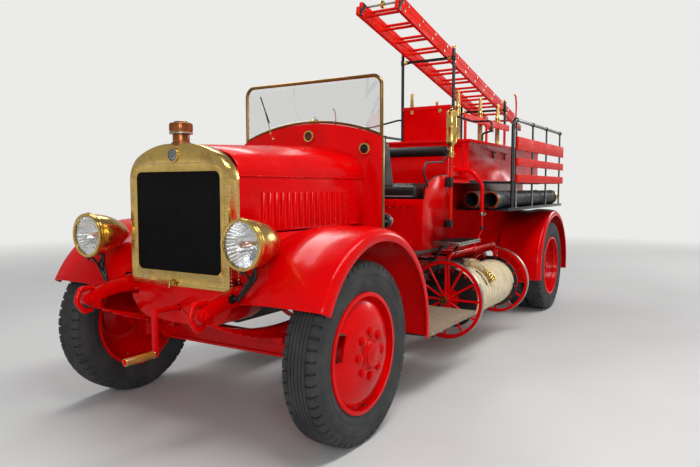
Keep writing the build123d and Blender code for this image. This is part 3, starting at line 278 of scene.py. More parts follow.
@dataclass(frozen=True)
class Hide(Finish):
    """Leather: small domed cells of grain."""

    def height(self, tree: Tree, where: Socket) -> Socket:
        """Cells the size of hide grain.

        Args:
            tree: the material's nodes.
            where: the point in object coordinates.

        Returns:
            The height, from 0 to 1.
        """
        skin = {"Vector": where, "Scale": self.grains}
        cells = add_node(tree, "ShaderNodeTexVoronoi", skin, feature="DISTANCE_TO_EDGE")
        edge = cells.outputs["Distance"]
        domes = add_node(tree, "ShaderNodeMapRange", {"Value": edge, "From Min": 0.0, "From Max": 0.25})
        return domes.outputs["Result"]


@dataclass(frozen=True)
class Woven(Finish):
    """Canvas and rope: threads at their pitch, one set across the object's X and one on the slant."""

    def height(self, tree: Tree, where: Socket) -> Socket:
        """Two sets of threads, the higher one on top.

        Args:
            tree: the material's nodes.
            where: the point in object coordinates.

        Returns:
            The height, from 0 to 1.
        """
        drawn = {"Vector": where, "Scale": self.grains / WAVE_BANDS, "Distortion": 0.6, "Detail": 1.0}
        waves = {}
        for number, axis in enumerate(("X", "DIAGONAL")):
            waves[number] = add_node(tree, "ShaderNodeTexWave", drawn, bands_direction=axis).outputs[0]
        return add_node(tree, "ShaderNodeMath", waves, operation="MAXIMUM").outputs["Value"]


@dataclass(frozen=True)
class Glass(Finish):
    """Clear or coloured glass, even all over."""

    def material(self) -> bpy.types.Material:
        """The glass as a Blender material, made once.

        Returns:
            The material.
        """
        found = bpy.data.materials.get(self.name)
        if found:
            return found
        made = super().material()
        shader = made.node_tree.nodes["Principled BSDF"]
        for socket in ("Base Color", "Roughness"):
            for link in list(shader.inputs[socket].links):
                made.node_tree.links.remove(link)
        shader.inputs["Base Color"].default_value = linear(self.colour)
        shader.inputs["Roughness"].default_value = self.roughness[0]
        return made


# Brushed-on gloss enamel, rubbed down and varnished: deep colour under a thin clear coat
RED_ENAMEL = Finish(
    "gloss_red_enamel", "#DA0002", "#BE0003", (0.16, 0.30), grain_mm=9.0, grain_depth_mm=0.035, coat=0.10,
    specular=0.10,
)
# Red enamel over ash wood: the grain still shows through as long low ridges
RED_WOOD = Grained(
    "red_enamelled_ash", "#E02010", "#C4120A", (0.42, 0.58), grain_mm=7.0, grain_depth_mm=0.05, specular=0.06
)
# Stoved black enamel on wrought iron bars
BLACK_IRON = Finish(
    "black_enamelled_iron", "#0D0E0F", "#1A1B1D", (0.24, 0.42), grain_mm=5.0, grain_depth_mm=0.06, coat=0.1,
    specular=0.35,
)
# Sheet brass, hand polished: smears of tarnish and a slow unevenness from the panel beater
BRASS = Finish(
    "polished_sheet_brass", "#D6B468", "#A98A48", (0.16, 0.34), 1.0, mottle_mm=90.0, grain_mm=45.0,
    grain_depth_mm=0.45, worn_share=(0.48, 0.8),
)
# Brass left to brown on the windscreen frame and strips
BROWN_BRASS = Finish(
    "browned_brass_strip", "#8F6B35", "#6E5129", (0.28, 0.42), 1.0, mottle_mm=120.0, grain_mm=20.0,
    grain_depth_mm=0.1,
)
# Copper pipe darkened by heat
COPPER = Finish(
    "heat_browned_copper", "#A7633C", "#6D3F28", (0.24, 0.40), 1.0, mottle_mm=50.0, grain_mm=15.0,
    grain_depth_mm=0.12,
)
# Bright steel: reel tyres, pins and nuts, rubbed by use
STEEL = Finish(
    "rubbed_bright_steel", "#B9B4AA", "#7E7A72", (0.26, 0.45), 1.0, mottle_mm=60.0, grain_mm=6.0,
    grain_depth_mm=0.08,
)
# Silvered reflector
SILVER = Finish(
    "silvered_reflector", "#E9EAEC", "#C9CBD0", (0.05, 0.12), 1.0, mottle_mm=60.0, grain_mm=20.0,
    grain_depth_mm=0.05,
)
# Old tyre rubber, greyed by dust and the mould's fine lines
TYRE = Finish(
    "greyed_tyre_rubber", "#2F3032", "#454543", (0.6, 0.85), mottle_mm=140.0, grain_mm=2.5,
    grain_depth_mm=0.2, specular=0.3,
)
# Suction hose: wire-bound black rubber with a faint bloom
HOSE_RUBBER = Finish(
    "wire_bound_hose_rubber", "#1D1E20", "#34363A", (0.38, 0.6), mottle_mm=110.0, grain_mm=3.0,
    grain_depth_mm=0.1,
)
# Cow hide, wax dressed
LEATHER = Hide(
    "waxed_black_hide", "#101011", "#201F1F", (0.36, 0.54), mottle_mm=120.0, grain_mm=3.2,
    grain_depth_mm=0.18, specular=0.35,
)
# Flax canvas delivery hose; a real thread is 1 mm, drawn at 3 mm to show
CANVAS = Woven(
    "flax_hose_canvas", "#D9C79E", "#A8936A", (0.78, 0.92), mottle_mm=80.0, grain_mm=3.0, grain_depth_mm=0.5,
    sheen=0.3, worn_share=(0.45, 0.85),
)
# Hemp hoisting rope
ROPE = Woven(
    "laid_hemp_rope", "#B59A68", "#8C744A", (0.8, 0.95), mottle_mm=40.0, grain_mm=3.0, grain_depth_mm=0.6
)
# Step slats of bare oak, worn grey
OAK = Grained("weathered_oak_slats", "#9C8B73", "#6A5A46", (0.55, 0.75), grain_mm=4.0, grain_depth_mm=0.3)
# Cab floor boards, oiled dark
FLOOR_BOARDS = Grained(
    "oiled_floor_boards", "#3E332A", "#241D18", (0.5, 0.7), grain_mm=6.0, grain_depth_mm=0.3
)
# Radiator fins, matt black lacquer; the same black paints shade on a disc deep in each suction hose's bore, a
# sheet under the step slats and discs for the holes in the steps' edges
FIN_AND_SHADE_BLACK = Finish(
    "matt_black_fins", "#08080A", "#121213", (0.55, 0.7), grain_mm=3.0, grain_depth_mm=0.05, specular=0.15
)
# Sand-cast iron of engine, pump and exhaust, brush painted
CAST_IRON = Finish(
    "sand_cast_iron", "#2B2C2D", "#3F3B36", (0.5, 0.7), mottle_mm=80.0, grain_mm=3.5, grain_depth_mm=0.35
)
# Plate glass
CLEAR_GLASS = Glass("plate_glass", "#F2F7F6", "#F2F7F6", (0.02, 0.02), transmission=1.0, ior=1.45, alpha=0.3)
# Ruby glass of the scuttle's lamp
RUBY_GLASS = Glass("ruby_glass", "#7A0810", "#7A0810", (0.06, 0.06), transmission=0.6, ior=1.5)
# Amber bulb behind the lamp's lens
AMBER_GLASS = Glass("amber_bulb_glass", "#E07A18", "#E07A18", (0.05, 0.05), transmission=0.4)
# Pale grey welt sewn into the black hide
GREY_WELT = Hide(
    "grey_hide_welt", "#8C8C88", "#6A6A67", (0.4, 0.6), mottle_mm=60.0, grain_mm=2.0, grain_depth_mm=0.1
)
# White enamelled face of the blank dials
DIAL_WHITE = Finish(
    "white_enamelled_dial", "#D9D6CC", "#C9C4B4", (0.2, 0.3), mottle_mm=30.0, grain_mm=4.0,
    grain_depth_mm=0.02,
)
# Starting handle's grip of varnished ash
GRIP_WOOD = Grained(
    "varnished_ash_grip", "#A9702C", "#7E4E1C", (0.25, 0.4), grain_mm=3.0, grain_depth_mm=0.15
)
# Blank vitreous enamel disc
BLUE_ENAMEL = Finish(
    "blue_grey_vitreous_enamel", "#5E7385", "#4A5C6C", (0.12, 0.2), mottle_mm=20.0, grain_mm=8.0,
    grain_depth_mm=0.02, coat=0.5,
)


# Shapes


def round_off(own: Mesh, edges: Iterable[bmesh.types.BMEdge], width: float) -> None:
    """Rounds edges of a bmesh, with two faces across the rounding.

    Args:
        own: the bmesh.
        edges: its edges to round.
        width: the rounding's width.
    """
    bmesh.ops.bevel(
        own, geom=list(edges), offset=width, segments=2, profile=0.5, affect="EDGES", material=-1,
        clamp_overlap=True,
    )


def close_up(own: Mesh) -> None:
    """Welds a bmesh where points meet and turns its faces outwards."""
    bmesh.ops.remove_doubles(own, verts=own.verts[:], dist=TOUCH)
    bmesh.ops.recalc_face_normals(own, faces=own.faces[:])


@dataclass
class Form:
    """A piece under construction: the few moves that plates, bars, turned work and pipes need."""

    bm: Mesh = field(default_factory=bmesh.new)

    def paint(self, verts: Iterable[bmesh.types.BMVert], finish: int) -> None:
        """Gives the faces on these vertices the finish of that number."""
        for vert in verts:
            for face in vert.link_faces:
                face.material_index = finish

    def soften(self, verts: Iterable[bmesh.types.BMVert], width: float) -> None:
        """Rounds the sharp edges between these vertices.

        Args:
            verts: the vertices of one closed shape.
            width: the rounding's width.
        """
        near = {e for v in verts for e in v.link_edges if e.is_manifold}
        edges = {e for e in near if e.calc_face_angle() > SHARP_ANGLE}
        if width > 0 and edges:
            round_off(self.bm, edges, width)

    def block(
        self, low: Point, high: Point, edge: float = 0.0, finish: int = 0, turn: Matrix | None = None
    ) -> None:
        """A box between two corners, its edges rounded.

        Args:
            low: lowest corner.
            high: highest corner.
            edge: width of the rounding.
            finish: which of the piece's finishes it takes.
            turn: a matrix applied to the finished box.
        """
        lo, hi = Vector(low), Vector(high)
        matrix = Matrix.Translation((lo + hi) / 2) @ Matrix.Diagonal((hi - lo).to_4d())
        matrix[3][3] = 1.0
        made = bmesh.ops.create_cube(self.bm, size=1.0, matrix=(turn or Matrix()) @ matrix)["verts"]
        self.paint(made, finish)
        self.soften(made, edge)

    def bar(
        self, a: Point, b: Point, radius: float, sides: int = 16, edge: float = 0.0, finish: int = 0,
        end: float | None = None,
    ) -> None:
        """A round or sided bar from a to b.

        Args:
            a: start of its axis.
            b: end of its axis.
            radius: radius at a.
            sides: number of sides.
            edge: rounding of its ends.
            finish: which finish it takes.
            end: radius at b, if it differs.
        """
        start, way = Vector(a), Vector(b) - Vector(a)
        turn = way.to_track_quat("Z", "Y").to_matrix().to_4x4()
        matrix = Matrix.Translation(start + way / 2) @ turn
        made = bmesh.ops.create_cone(
            self.bm, cap_ends=True, segments=sides, radius1=radius, radius2=radius if end is None else end,
            depth=way.length, matrix=matrix,
        )["verts"]
        self.paint(made, finish)
        if edge:
            ends = {e for v in made for e in v.link_edges if any(len(f.verts) > 4 for f in e.link_faces)}
            round_off(self.bm, ends, edge)

    def rivet(self, at: Point, out: Point, radius: float = 3.5 * MM, finish: int = 0) -> None:
        """A low domed head standing on a surface."""
        a = Vector(at)
        way = Vector(out).normalized()
        self.bar(a - way * 0.5 * MM, a + way * radius * 0.55, radius, 8, 0.0, finish, radius * 0.5)

    def rivets(self, points: Iterable[Point], out: Point, radius: float = 3.5 * MM, finish: int = 0) -> None:
        """A domed head at each point."""
        for point in points:
            self.rivet(point, out, radius, finish)

    def hoop(
        self, origin: Point, axis: Point, inner: float, outer: float, low: float, high: float,
        edge: float = 0.0, steps: int = 48, finish: int = 0,
    ) -> None:
        """A turned ring, or a disc where the inner radius is 0, its outer edges rounded off.

        Args:
            origin: a point of the axis.
            axis: the axis's direction.
            inner: inner radius.
            outer: outer radius.
            low: where it starts along the axis.
            high: where it ends.
            edge: width of the rounding.
            steps: faces round it.
            finish: which finish it takes.
        """
        cut = max(edge, LEAST_EDGE)
        mid = cut * 0.3
        self.turned(
            origin, axis,
            [
                (inner, low), (outer - cut, low), (outer - mid, low + mid), (outer, low + cut),
                (outer, high - cut), (outer - mid, high - mid), (outer - cut, high), (inner, high),
            ],
            steps, finish,
        )

    def take(self, other: "Form") -> None:
        """Joins another form on and uses it up.

        Args:
            other: the form that ends here.
        """
        carrier = bpy.data.meshes.new("carrier")
        other.bm.to_mesh(carrier)
        other.bm.free()
        self.bm.from_mesh(carrier)
        bpy.data.meshes.remove(carrier)

    def nut(self, at: Point, out: Point, across: float, height: float, finish: int = 0) -> None:
        """A hexagon nut with a washer under it and the stud's end showing.

        Args:
            at: the washer's foot.
            out: which way the nut stands.
            across: width across its flats.
            height: height of washer and nut.
            finish: which finish it takes.
        """
        a, way = Vector(at), Vector(out).normalized()
        half = across / 2 / cos(pi / 6)
        self.bar(a, a + way * height * 0.12, half * 1.15, 16, 0.0, finish)
        self.bar(a + way * height * 0.12, a + way * height, half, 6, half * 0.08, finish)
        self.bar(a, a + way * height * 1.35, across * 0.28, 10, across * 0.05, finish)

    def joined(self, make: Callable[[Mesh], None], finish: int) -> None:
        """Makes a closed shape in a bmesh of its own, turns its faces outwards and joins it on.

        Args:
            make: fills the bmesh it is given.
            finish: which finish the shape takes.
        """
        own = bmesh.new()
        make(own)
        close_up(own)
        for face in own.faces:
            face.material_index = finish
        self.take(Form(own))

    def turned(
        self, origin: Point, axis: Point, profile: list[Flat], steps: int = 48, finish: int = 0,
        after: Callable[[Mesh], None] | None = None,
    ) -> None:
        """A (radius, along) outline turned once about an axis; it closes on itself.

        Args:
            origin: a point of the axis, where along is 0.
            axis: the axis's direction.
            profile: radius and place along the axis, in order.
            steps: faces round the turn.
            finish: which finish it takes.
            after: further work on the turned shape, whose faces point outwards by then.
        """
        centre, way = Vector(origin), Vector(axis).normalized()
        out = way.orthogonal().normalized()

        def make(own: Mesh) -> None:
            """Draws the outline and spins it."""
            verts = [own.verts.new(centre + out * r + way * h) for r, h in profile]
            closed = profile[0][0] > TOUCH or profile[-1][0] > TOUCH
            pairs = zip(verts, verts[1:] + (verts[:1] if closed else []))
            edges = [own.edges.new(p) for p in pairs]
            bmesh.ops.spin(
                own, geom=verts + edges, cent=centre, axis=way, dvec=(0, 0, 0), angle=2 * pi, steps=steps,
                use_merge=True,
            )
            if after:
                close_up(own)
                after(own)

        self.joined(make, finish)

    def pipe(
        self, points: list[Point], radius: float, bend: float = 0.03, sides: int = 12, finish: int = 0,
        flat: float = 1.0,
    ) -> None:
        """A round or flattened pipe along points, its corners rounded.

        Args:
            points: the corners of its line.
            radius: the pipe's radius.
            bend: radius of each rounded corner.
            sides: faces round it.
            finish: which finish it takes.
            flat: its thickness as a share of its width.
        """
        line = rounded_line(points, bend)

        def make(own: Mesh) -> None:
            """Lays a ring at each point and bridges them."""
            normal = (line[1] - line[0]).orthogonal().normalized()
            rings: list[list[bmesh.types.BMEdge]] = []
            for i, here in enumerate(line):
                way = (line[min(i + 1, len(line) - 1)] - line[max(i - 1, 0)]).normalized()
                normal = (normal - way * normal.dot(way)).normalized()
                turn = Matrix((normal, way.cross(normal), way)).transposed().to_4x4()
                matrix = Matrix.Translation(here) @ turn @ Matrix.Diagonal((1.0, flat, 1.0, 1.0))
                capped = i in (0, len(line) - 1)
                made = bmesh.ops.create_circle(
                    own, cap_ends=capped, segments=sides, radius=radius, matrix=matrix
                )
                verts = made["verts"]
                ring = set(verts)
                edges = [e for v in verts for e in v.link_edges if e.verts[0] is v]
                rings.append([e for e in edges if set(e.verts) <= ring])
            for first, second in zip(rings, rings[1:]):
                bmesh.ops.bridge_loops(own, edges=first + second)

        self.joined(make, finish)

    def plate(
        self, plane: Plane, outline: list[Flat], low: float, high: float, edge: float = 0.0, finish: int = 0
    ) -> None:
        """A flat outline given thickness along its plane's normal.

        Args:
            plane: the plane of the outline.
            outline: its corners in order.
            low: where it starts along the normal.
            high: where it ends.
            edge: rounding of its rims.
            finish: which finish it takes.
        """
        first, second, normal = plane.value

        def make(own: Mesh) -> None:
            """Draws the face, pulls it out and rounds its rims."""
            verts = []
            for u, v in outline:
                at = [0.0, 0.0, 0.0]
                at[first], at[second], at[normal] = u, v, low
                verts.append(own.verts.new(at))
            face = own.faces.new(verts)
            grown = bmesh.ops.extrude_face_region(own, geom=[face])["geom"]
            lift = Vector((0, 0, 0))
            lift[normal] = high - low
            lifted = [v for v in grown if isinstance(v, bmesh.types.BMVert)]
            bmesh.ops.translate(own, verts=lifted, vec=lift)
            bmesh.ops.recalc_face_normals(own, faces=own.faces[:])
            rims = [e for e in own.edges if any(len(f.verts) == len(outline) for f in e.link_faces)]
            if edge:
                round_off(own, rims, edge)

        self.joined(make, finish)

    def ball(self, at: Point, scale: Point, finish: int = 0, segments: int = 16) -> None:
        """A ball stretched along each axis."""
        matrix = Matrix.Translation(at) @ Matrix.Diagonal((*scale, 1.0))
        made = bmesh.ops.create_uvsphere(
            self.bm, u_segments=segments, v_segments=segments // 2, radius=1.0, matrix=matrix
        )
        self.paint(made["verts"], finish)

    def other_side(self) -> "Form":
        """A copy on the vehicle's other side.

        Returns:
            The new form.
        """
        copy = Form(self.bm.copy())
        bmesh.ops.scale(copy.bm, vec=(1, -1, 1), verts=copy.bm.verts[:])
        bmesh.ops.reverse_faces(copy.bm, faces=copy.bm.faces[:])
        return copy

    def both_sides(self) -> "Form":
        """Adds its own copy on the vehicle's other side.

        Returns:
            The form itself.
        """
        self.take(self.other_side())
        return self

    def pair(
        self, name: str, body: str, finishes: list[Finish], slot: str, replaces: Iterable[str] = ()
    ) -> None:
        """Makes it a left piece and its copy a right one; "@" in the names stands for the side's word.

        Args:
            name: the pieces' name.
            body: the bodies they move with.
            finishes: their finishes by number.
            slot: the record's material slot.
            replaces: nodes that they stand for.
        """
        copies = {Side.RIGHT: self.other_side(), Side.LEFT: self}
        for side, form in copies.items():
            swap = [node.replace("@", side.word) for node in replaces]
            named, rides = name.replace("@", side.word), body.replace("@", side.word)
            form.piece(named, rides, finishes, slot, swap)

    def piece(
        self, name: str, body: str, finishes: list[Finish], slot: str, replaces: Iterable[str] = ()
    ) -> bpy.types.Object:
        """Makes it an object that rides on a body.

        Args:
            name: the piece's name.
            body: the body it moves with.
            finishes: its finishes by number.
            slot: the record's material slot; not used.
            replaces: nodes that it stands for.

        Returns:
            The new object.
        """
        for face in self.bm.faces:
            face.smooth = True
        for edge in self.bm.edges:
            edge.smooth = not edge.is_manifold or edge.calc_face_angle() < SHARP_ANGLE
        mesh = bpy.data.meshes.new(name)
        self.bm.to_mesh(mesh)
        self.bm.free()
        for finish in finishes:
            mesh.materials.append(finish.material())
        made = bpy.data.objects.new(name, mesh)
        bpy.context.scene.collection.objects.link(made)
        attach(made, body)
        if replaces:
            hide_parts(*replaces)
        log.info("%s: %d faces on %s", name, len(mesh.polygons), body)
        return made


def rounded_line(points: list[Point], bend: float) -> list[Vector]:
    """The line through corner points with each corner rounded.

    Args:
        points: the corners.
        bend: radius of the rounding.

    Returns:
        The points of the smooth line.
    """
    corners = [Vector(p) for p in points]
    line = [corners[0]]
    for before, corner, after in zip(corners, corners[1:], corners[2:]):
        into, out = (corner - before).normalized(), (after - corner).normalized()
        angle = into.angle(out)
        if angle < STRAIGHT:
            continue
        room = 0.49 * min((corner - before).length, (after - corner).length)
        cut = min(bend * tan(angle / 2), room)
        a, b = corner - into * cut, corner + out * cut
        for share in (k / BEND_STEPS for k in range(BEND_STEPS + 1)):
            line.append(a.lerp(corner, share).lerp(corner.lerp(b, share), share))
    line.append(corners[-1])
    return line


def arc_points(centre: Flat, radius: float, start: float, end: float, steps: int) -> list[Flat]:
    """Points along an arc, angles in degrees."""
    turns = [radians(start + (end - start) * k / steps) for k in range(steps + 1)]
    return [(centre[0] + radius * cos(a), centre[1] + radius * sin(a)) for a in turns]


def arc_through(a: Flat, mid: Flat, b: Flat, steps: int) -> list[Flat]:
    """Points along the circle through three points, from the first to the last.

    Args:
        a: where it starts.
        mid: a point that it passes.
        b: where it ends.
        steps: runs along it.

    Returns:
        The points, both ends included.
    """
    (ax, ay), (mx, my), (bx, by) = a, mid, b
    d = 2 * (ax * (my - by) + mx * (by - ay) + bx * (ay - my))
    sa, sm, sb = ax * ax + ay * ay, mx * mx + my * my, bx * bx + by * by
    cx = (sa * (my - by) + sm * (by - ay) + sb * (ay - my)) / d
    cy = (sa * (bx - mx) + sm * (ax - bx) + sb * (mx - ax)) / d
    start, middle, end = (atan2(y - cy, x - cx) for x, y in (a, mid, b))
    sweep, part = (end - start) % (2 * pi), (middle - start) % (2 * pi)
    if part > sweep:
        sweep -= 2 * pi
    return arc_points((cx, cy), hypot(ax - cx, ay - cy), degrees(start), degrees(start + sweep), steps)


def spaced(a: Point, b: Point, count: int) -> list[Vector]:
    """Evenly spaced points from a to b, both ends included."""
    first, last = Vector(a), Vector(b)
    return [first.lerp(last, k / (count - 1)) for k in range(count)]


def ring_of(centre: Point, axis: Point, radius: float, count: int, start: float = 0.0) -> list[Vector]:
    """Points evenly round an axis, the first at a start angle in radians.

    Args:
        centre: the ring's middle.
        axis: its axis.
        radius: its radius.
        count: how many points.
        start: the first one's angle.

    Returns:
        The points in order.
    """
    middle, way = Vector(centre), Vector(axis).normalized()
    first = way.orthogonal().normalized()
    second = way.cross(first)
    turns = [start + 2 * pi * k / count for k in range(count)]
    return [middle + (first * cos(a) + second * sin(a)) * radius for a in turns]


# The vehicle's own parts


@dataclass
class CarriedNodes:
    """The structural parts as they come, each with its finish; welded, with light edges."""

    nodes: dict[str, bpy.types.Object]
    edge: float = 2.0 * MM

    def dress(self) -> None:
        """Gives every structural part its finish."""
        table: dict[Finish, tuple[str, ...]] = {
            RED_ENAMEL: (
                "frame", "front_axle", "rear_axle", "leaf_springs", "bonnet_top", "bonnet_side_left",
                "bonnet_side_right", "scuttle", "front_mudguards", "rear_mudguards", "seat_frame", "body_box",
                "rear_door", "top_locker", "reel_hangers", "apron", "starting_crank", "front_wheel_left",
                "front_wheel_right", "rear_wheel_left", "rear_wheel_right", "reel_left", "reel_right",
                "knuckle_left", "knuckle_right", "tie_rod",
            ),
            RED_WOOD: ("ladder_base", "ladder_fly", "rack_planks"),
            BLACK_IRON: (
                "controls", "steering_wheel", "side_racks", "ladder_gantry", "step_irons", "lamp_brackets"
            ),
            BRASS: ("radiator_shell", "headlamps", "branch_pipes", "torches"),
            BROWN_BRASS: ("windscreen_frame",),
            TYRE: ("front_tyre_left", "front_tyre_right", "rear_tyres_left", "rear_tyres_right"),
            HOSE_RUBBER: ("suction_hoses",),
            LEATHER: ("seat_cushion", "leather_pads"),
            CANVAS: ("reel_hose_left", "reel_hose_right"),
            OAK: ("slatted_steps",),
            FLOOR_BOARDS: ("cab_floor",),
            CLEAR_GLASS: ("windscreen_glass", "headlamp_lenses"),
            FIN_AND_SHADE_BLACK: ("radiator_core",),
            CAST_IRON: ("engine", "pump"),
        }
        for finish, names in table.items():
            for name in names:
                self.finish_node(name, finish)

    def finish_node(self, name: str, finish: Finish) -> None:
        """Welds, softens and finishes one part.

        Args:
            name: the node.
            finish: its finish.
        """
        node = self.nodes[name]
        node.data.materials.clear()
        node.data.materials.append(finish.material())
        node.data.polygons.foreach_set("use_smooth", [True] * len(node.data.polygons))
        weld = node.modifiers.new("weld", "WELD")
        weld.merge_threshold = 0.02 * MM
        bevel = node.modifiers.new("edges", "BEVEL")
        bevel.width = self.edge
        bevel.segments = 2
        bevel.limit_method = "ANGLE"
        bevel.angle_limit = SHARP_ANGLE
        bevel.use_clamp_overlap = True
        bevel.harden_normals = True


# Wheels


@dataclass
class Tyre:
    """A heavy road tyre: grooved tread, slotted shoulders and ribs on its sidewalls."""

    middle: Point
    width: float
    radius: float = 0.490
    bead: float = 0.312
    steps: int = 216
    slot_every: int = 4
    slot_depth: float = 10 * MM

    def outline(self) -> list[Flat]:
        """Radius and place across, from one bead over the tread to the other.

        Returns:
            The outline, which closes along the beads.
        """
        h = self.width / 2
        wall = arc_through((self.bead, 0.80 * h), (0.3868, h), (0.456, 0.93 * h), 8)
        ribbed = wall[:3] + self.rib(wall[3]) + wall[4:6] + self.rib(wall[6]) + wall[7:]
        half = ribbed + arc_through((0.456, 0.93 * h), (0.481, 0.83 * h), (0.487, 0.66 * h), 4)[1:]
        tread = [p for share in (0.5, 0.3, 0.1, -0.1, -0.3, -0.5) for p in self.groove(share * h)]
        return half + tread + [(r, -y) for r, y in reversed(half)]

    def rib(self, at: Flat) -> list[Flat]:
        """A low moulded ring on the sidewall."""
        r, y = at
        return [(r - 3 * MM, y), (r - 1.5 * MM, y + 1.8 * MM), (r + 1.5 * MM, y + 1.8 * MM), (r + 3 * MM, y)]

    def groove(self, y: float) -> list[Flat]:
        """A groove run round the tread at this place across."""
        top = self.radius - 3 * MM * (y / (0.33 * self.width)) ** 2
        half, floor = 2.5 * MM, top - 6 * MM
        return [(top, y + half), (floor, y + half * 0.6), (floor, y - half * 0.6), (top, y - half)]

    def cut_slots(self, own: Mesh) -> None:
        """Sinks the slots of the shoulders.

        Args:
            own: the turned tyre.
        """
        x, y, z = self.middle
        chosen = []
        for face in own.faces:
            at = face.calc_center_median()
            across = abs(at.y - y) / (self.width / 2)
            step = int(atan2(at.z - z, at.x - x) / (2 * pi) * self.steps + self.steps)
            on_shoulder = 0.53 < across < 0.95 and hypot(at.x - x, at.z - z) > 0.457
            if on_shoulder and step % self.slot_every == 0:
                chosen.append(face)
        bmesh.ops.inset_region(
            own, faces=chosen, thickness=2.5 * MM, depth=-self.slot_depth, use_boundary=True,
            use_even_offset=True,
        )


@dataclass
class RoadWheels:
    """The six road tyres, and the nuts, hub caps, rim beads and valves of the wheels."""

    axle_height: float = 0.490
    front_x: float = 2.330
    rear_x: float = -1.940
    front_y: float = 0.878
    twins: Flat = (0.812, 0.600)
    front_width: float = 0.205
    rear_width: float = 0.190
    nuts: int = 8

    def build(self) -> None:
        """Makes tyres and fittings on both sides."""
        front, rear = self.front_fittings(), self.rear_fittings()
        wheels = (
            ("front_@_road_wheel", self.front_x, self.front_width, (self.front_y,), "front_tyre_@", front),
            ("rear_@_road_wheels", self.rear_x, self.rear_width, self.twins, "rear_tyres_@", rear),
        )
        for body, x, width, places, node, fittings in wheels:
            self.tyres(x, width, places).pair(f"treaded_{node}", body, [TYRE], "tyre", [node])
            fittings.pair(f"{body}_fittings", body, [RED_ENAMEL, BRASS, BLACK_IRON], "red_paint")

    def tyres(self, x: float, width: float, places: Iterable[float]) -> Form:
        """The left tyres of one axle.

        Args:
            x: the axle's place.
            width: width of each tyre.
            places: Y of each tyre's middle.

        Returns:
            The form that holds them.
        """
        form = Form()
        for y in places:
            tyre = Tyre((x, y, self.axle_height), width)
            form.turned(tyre.middle, ACROSS, tyre.outline(), tyre.steps, after=tyre.cut_slots)
        return form

    def front_fittings(self) -> Form:
        """Fittings of the left front wheel.

        Returns:
            The form that holds them.
        """
        x, z = self.front_x, self.axle_height
        form, hub = Form(), (x, 0.0, z)
        for at in ring_of((x, 0.997, z), ACROSS, 0.118, self.nuts):
            form.nut(at, ACROSS, 0.042, 0.016)
        for inner, outer, low, high in (
            (0.079, 0.090, 0.996, 1.005), (0.058, 0.066, 1.010, 1.0235), (0.300, 0.3225, 0.9615, 0.9745),
            (0.290, 0.3045, 0.928, 0.936), (0.140, 0.146, 0.992, 0.999),
        ):
            form.hoop(hub, ACROSS, inner, outer, low, high, 3 * MM, 72)
        form.bar((x, 1.020, z), (x, 1.0285, z), 0.040, 6, 2 * MM)
        form.ball((x, 1.0265, z), (0.020, 0.003, 0.020))
        self.valve(form, x, 0.925, 0.274)
        return form

    def rear_fittings(self) -> Form:
        """Fittings of the left twin wheels.

        Returns:
            The form that holds them.
        """
        x, z = self.rear_x, self.axle_height
        form, hub = Form(), (x, 0.0, z)
        for at in ring_of((x, 0.697, z), ACROSS, 0.122, self.nuts):
            form.nut(at, ACROSS, 0.040, 0.016)
        for inner, outer, low, high in (
            (0.093, 0.100, 0.702, 0.712), (0.058, 0.073, 0.822, 0.834), (0.300, 0.3225, 0.8895, 0.9015),
            (0.290, 0.3045, 0.842, 0.850),
        ):
            form.hoop(hub, ACROSS, inner, outer, low, high, 3 * MM, 72)
        form.bar((x, 0.828, z), (x, 0.850, z), 0.042, 6, 3 * MM)
        for at in ring_of((x, 0.834, z), ACROSS, 0.056, 6):
            form.nut(at, ACROSS, 0.014, 0.006)
        self.valve(form, x, 0.800, 0.274)
        return form

    def valve(self, form: Form, x: float, y: float, radius: float) -> None:
        """A tyre valve standing out beside the rim, with its cap.

        Args:
            form: takes it.
            x: the axle's place.
            y: where it leaves the disc.
            radius: its distance from the axle.
        """
        z = self.axle_height - radius
        form.bar((x, y, z), (x, y + 0.030, z - 0.006), 0.0045, 10, 0.0, 1)
        form.bar((x, y + 0.030, z - 0.006), (x, y + 0.044, z - 0.009), 0.0065, 10, 1 * MM, 2)


# Front of the vehicle


